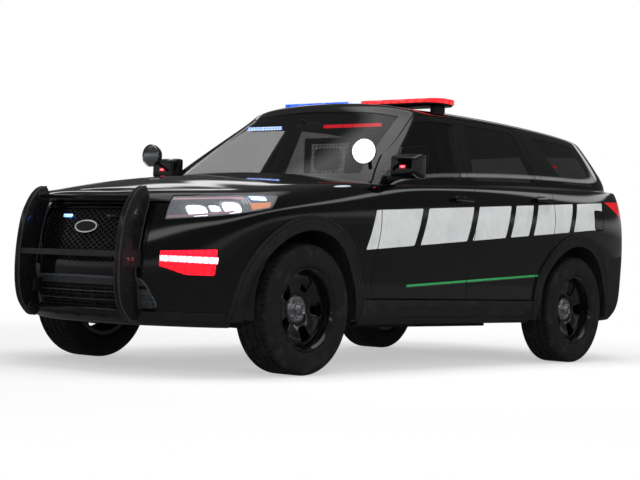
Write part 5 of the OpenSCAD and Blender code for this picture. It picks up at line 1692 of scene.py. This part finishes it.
@dataclass
class Cabin:
    """Seats, screens, the cage behind the front seats and the dashboard's details."""

    seat_y: float = 385

    def seats(self) -> None:
        """Builds the pads of the front seats and the rear bench."""
        for side, sign in SIDES.items():
            y = sign * self.seat_y
            Cushion(f"{side}_seat_pad", mm(182, y, 590), Vector((0.455, 0.5, 0.1)), -3, Seam.BOLSTERS).build()
            Cushion(f"{side}_back_pad", mm(-162, y, 930), Vector((0.62, 0.5, 0.1)), -102, Seam.BOLSTERS).build()
            Cushion(f"{side}_head_pad", mm(-262, y, 1398), Vector((0.17, 0.235, 0.078)), -98).build()
        Cushion("rear_bench_pad", mm(-740, 0, 545), Vector((0.5, 1.25, 0.13)), -2, Seam.BENCH).build()
        Cushion("rear_back_pad", mm(-1062, 0, 940), Vector((0.6, 1.25, 0.1)), -103, Seam.BENCH).build()
        frames = []
        for sign in (1, -1):
            y = sign * self.seat_y
            frames.append(block((-45, 325), (y - 145, y + 145), (322, 532), 12))
            frames.append(block((-60, 20), (y - 235, y + 235), (520, 570), 12))
            frames += [rod(mm(-252, y + d, 1225), mm(-262, y + d, 1330), 0.008) for d in (-60, 60)]
        frames.append(block((-955, -545), (-595, 595), (322, 470), 10))
        place("seat_frames", joined(*dressed(frames, VINYL)), "car", VINYL, "front_seats", "rear_seat")

    def cage(self) -> None:
        """Builds the wire screen over the partition's frame."""
        wires = [tube([mm(-346, y, 1104), mm(-346, y, 1520)], 0.0022, 4) for y in range(-640, 641, 32)]
        wires += [tube([mm(-346, -655, z), mm(-346, 655, z)], 0.0022, 4) for z in range(1120, 1520, 32)]
        place("cage_wires", joined(*dressed(wires, CHASSIS)), "car", CHASSIS)

    def dials(self) -> None:
        """Builds the binnacle, the screens, the vents and the rear-view mirror."""
        parts = [(beveled(block((612, 700), (240, 530), (1085, 1178)), 0.02, 3), VINYL),
                 (block((606, 612), (262, 508), (1098, 1160), 2), PRIVACY),
                 (block((628, 640), (-110, 110), (980, 1110), 4), PRIVACY),
                 (block((392, 402), (-190, 70), (838, 1020), 4), VINYL),
                 (block((388, 392), (-180, 60), (850, 1010), 2), PRIVACY),
                 (ball(mm(420, 0, 1560), Vector((0.014, 0.12, 0.034))), VINYL),
                 (rod(mm(430, 0, 1560), mm(490, 0, 1600), 0.008), VINYL)]
        parts += [(block((632, 642), (s * y - 60, s * y + 60), (1050, 1100), 6), SMOOTH_PLASTIC)
                  for s in (1, -1) for y in (170, 600)]
        place("dash_details", joined(*[finished(m, f) for m, f in parts]), "car", VINYL)

    def build(self) -> None:
        """Builds the cabin."""
        self.seats()
        self.cage()
        self.dials()


@dataclass
class CarriedOver:
    """Finishes of the CAD nodes whose own shapes are shown."""

    finishes: dict = field(default_factory=lambda: {
        "floor_pan": CHASSIS, "dashboard": VINYL, "partition": CHASSIS, "engine": CASTING,
        "front_subframe": CHASSIS, "rear_subframe": CHASSIS, "exhaust": EXHAUST, "steering_wheel": VINYL,
        "left_knuckle": CASTING, "right_knuckle": CASTING})

    def build(self) -> None:
        """Gives each node its finish."""
        for node, finish in self.finishes.items():
            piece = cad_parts[node]
            for place_in in piece.material_slots:
                place_in.material = finish.material()
            LOG.info("%s: %s", node, finish.name)


# ---------------------------------------------------------------- studio


@dataclass
class Studio:
    """Pale floor, soft lamps and the camera."""

    floor_half: float = 30.0
    camera_at: Vector = field(default_factory=lambda: Vector((8.521, 6.716, 0.654)))
    yaw: float = 219.27
    pitch: float = 0.831
    roll: float = 2.097
    lens: float = 88.2

    def build(self) -> None:
        """Builds the stage and sets the view."""
        scene = bpy.context.scene
        scene.view_settings.view_transform = "Standard"
        self.floor()
        self.world(scene)
        self.lamps()
        self.camera(scene)

    def floor(self) -> None:
        """A flat floor under the tyres."""
        bm = bmesh.new()
        bmesh.ops.create_grid(bm, x_segments=1, y_segments=1, size=self.floor_half)
        bmesh.ops.translate(bm, vec=(0, 0, WHEEL_LOW.z - 0.001), verts=bm.verts)
        mesh = new_mesh(bm)
        ground = bpy.data.objects.new("floor", mesh)
        bpy.context.scene.collection.objects.link(ground)
        material = bpy.data.materials.new("floor_paper_white")
        material.use_nodes = True
        tree = material.node_tree
        shader = tree.nodes["Principled BSDF"]
        shader.inputs["Base Color"].default_value = linear("#f2f2f1")
        shader.inputs["Roughness"].default_value = 0.9
        path = add(tree, "LightPath")
        away = add(tree, "VectorMath", links={0: add(tree, "TexCoord").outputs["Object"]}, operation="LENGTH")
        fade = add(tree, "MapRange", {"From Min": 2.2, "From Max": 6.0, "To Min": 0.5, "To Max": 1.0},
                   {"Value": away.outputs["Value"]}, interpolation_type="SMOOTHSTEP")
        share = add(tree, "Math", {}, {0: fade.outputs["Result"], 1: path.outputs["Is Camera Ray"]},
                    operation="MULTIPLY")
        white = add(tree, "Emission", {"Color": (1, 1, 1, 1), "Strength": 1.0})
        dim = add(tree, "Emission", {"Color": (1, 1, 1, 1), "Strength": 0.07})
        plain = add(tree, "MixShader", links={0: path.outputs["Is Glossy Ray"], 1: shader.outputs[0],
                                              2: dim.outputs[0]})
        stage = add(tree, "MixShader", links={0: share.outputs[0], 1: plain.outputs[0], 2: white.outputs[0]})
        tree.links.new(stage.outputs[0], tree.nodes["Material Output"].inputs["Surface"])
        mesh.materials.append(material)

    @staticmethod
    def world(scene: bpy.types.Scene) -> None:
        """A soft grey room that looks white to the camera."""
        world = bpy.data.worlds.new("studio")
        scene.world = world
        world.use_nodes = True
        tree = world.node_tree
        backdrop = tree.nodes["Background"]
        backdrop.inputs["Color"].default_value = linear("#ffffff")
        path = add(tree, "LightPath")
        plain = add(tree, "Math", links={0: path.outputs["Is Camera Ray"], 1: path.outputs["Is Transmission Ray"]},
                    operation="MAXIMUM")
        height = add(tree, "SeparateXYZ", links={"Vector": add(tree, "TexCoord").outputs["Generated"]}).outputs["Z"]
        room = add(tree, "ValToRGB", links={"Fac": height})
        stops = room.color_ramp.elements
        stops[0].color, stops[1].color = (0.1, 0.1, 0.1, 1), (0.8, 0.8, 0.8, 1)
        for sine, level in ((0.03, 0.09), (0.07, 0.28), (0.09, 0.28), (0.13, 0.05), (0.29, 0.05), (0.31, 1.1),
                            (0.345, 1.1), (0.37, 0.06), (0.6, 0.06), (0.78, 0.08), (0.86, 0.9)):
            stops.new(sine).color = (level, level, level, 1)
        shiny = add(tree, "Math", links={0: room.outputs["Color"], 1: path.outputs["Is Glossy Ray"]},
                    operation="MULTIPLY")
        seen = add(tree, "Math", links={0: plain.outputs[0], 1: shiny.outputs[0]}, operation="MAXIMUM")
        soft = add(tree, "Math", {0: 0.34}, {1: path.outputs["Is Diffuse Ray"]}, operation="MULTIPLY")
        level = add(tree, "Math", links={0: soft.outputs[0], 1: seen.outputs[0]}, operation="MAXIMUM")
        tree.links.new(level.outputs[0], backdrop.inputs["Strength"])

    @staticmethod
    def lamps() -> None:
        """Long soft boxes over and beside the car."""
        for name, at, aim, size, power in (
                ("top", (0.2, 0.6, 4.6), (0, 0, 0.8), (5.5, 2.2), 230),
                ("front_left", (6.0, 5.4, 3.4), (0.8, 0, 0.8), (2.2, 3.2), 190),
                ("left", (-1.6, 6.8, 2.6), (-0.4, 0, 0.8), (4.2, 1.4), 110),
                ("right_rear", (-5.0, -5.0, 3.4), (0, 0, 0.8), (3.5, 2.0), 160)):
            light = bpy.data.lights.new(name, "AREA")
            light.shape, light.size, light.size_y, light.energy = "RECTANGLE", *size, power
            lamp = bpy.data.objects.new(name, light)
            lamp.visible_glossy = False
            bpy.context.scene.collection.objects.link(lamp)
            lamp.location = at
            lamp.rotation_euler = (Vector(aim) - Vector(at)).to_track_quat("-Z", "Y").to_euler()

    def camera(self, scene: bpy.types.Scene) -> None:
        """A long lens at headlamp height, ahead and to the left of the car."""
        data = bpy.data.cameras.new("camera")
        data.lens, data.sensor_width = self.lens, 36
        eye = bpy.data.objects.new("camera", data)
        scene.collection.objects.link(eye)
        yaw, pitch, roll = (math.radians(a) for a in (self.yaw, self.pitch, self.roll))
        forward = Vector((math.cos(yaw) * math.cos(pitch), math.sin(yaw) * math.cos(pitch), math.sin(pitch)))
        right = forward.cross(Vector((0, 0, 1))).normalized()
        up = right.cross(forward)
        right, up = (right * math.cos(roll) + up * math.sin(roll), up * math.cos(roll) - right * math.sin(roll))
        turn = Matrix((right, up, -forward)).transposed()
        eye.matrix_world = Matrix.Translation(self.camera_at) @ turn.to_4x4()
        scene.camera = eye


def main() -> None:
    """Builds the car's looks and the studio."""
    logging.basicConfig(level=logging.INFO, format="%(message)s")
    skins = Skins()
    BodyPanels(skins).build()
    Glazing(skins).build()
    Grille(skins).build()
    Lamps(skins).build()
    PushBumper().build()
    LightBar().build()
    Spotlights().build()
    Mirrors(skins).build()
    DoorHandles(skins).build()
    VisorLights().build()
    Graphics(skins).build()
    Wheel().build()
    Cabin().build()
    CarriedOver().build()
    Studio().build()


if __name__ == "__main__":
    main()
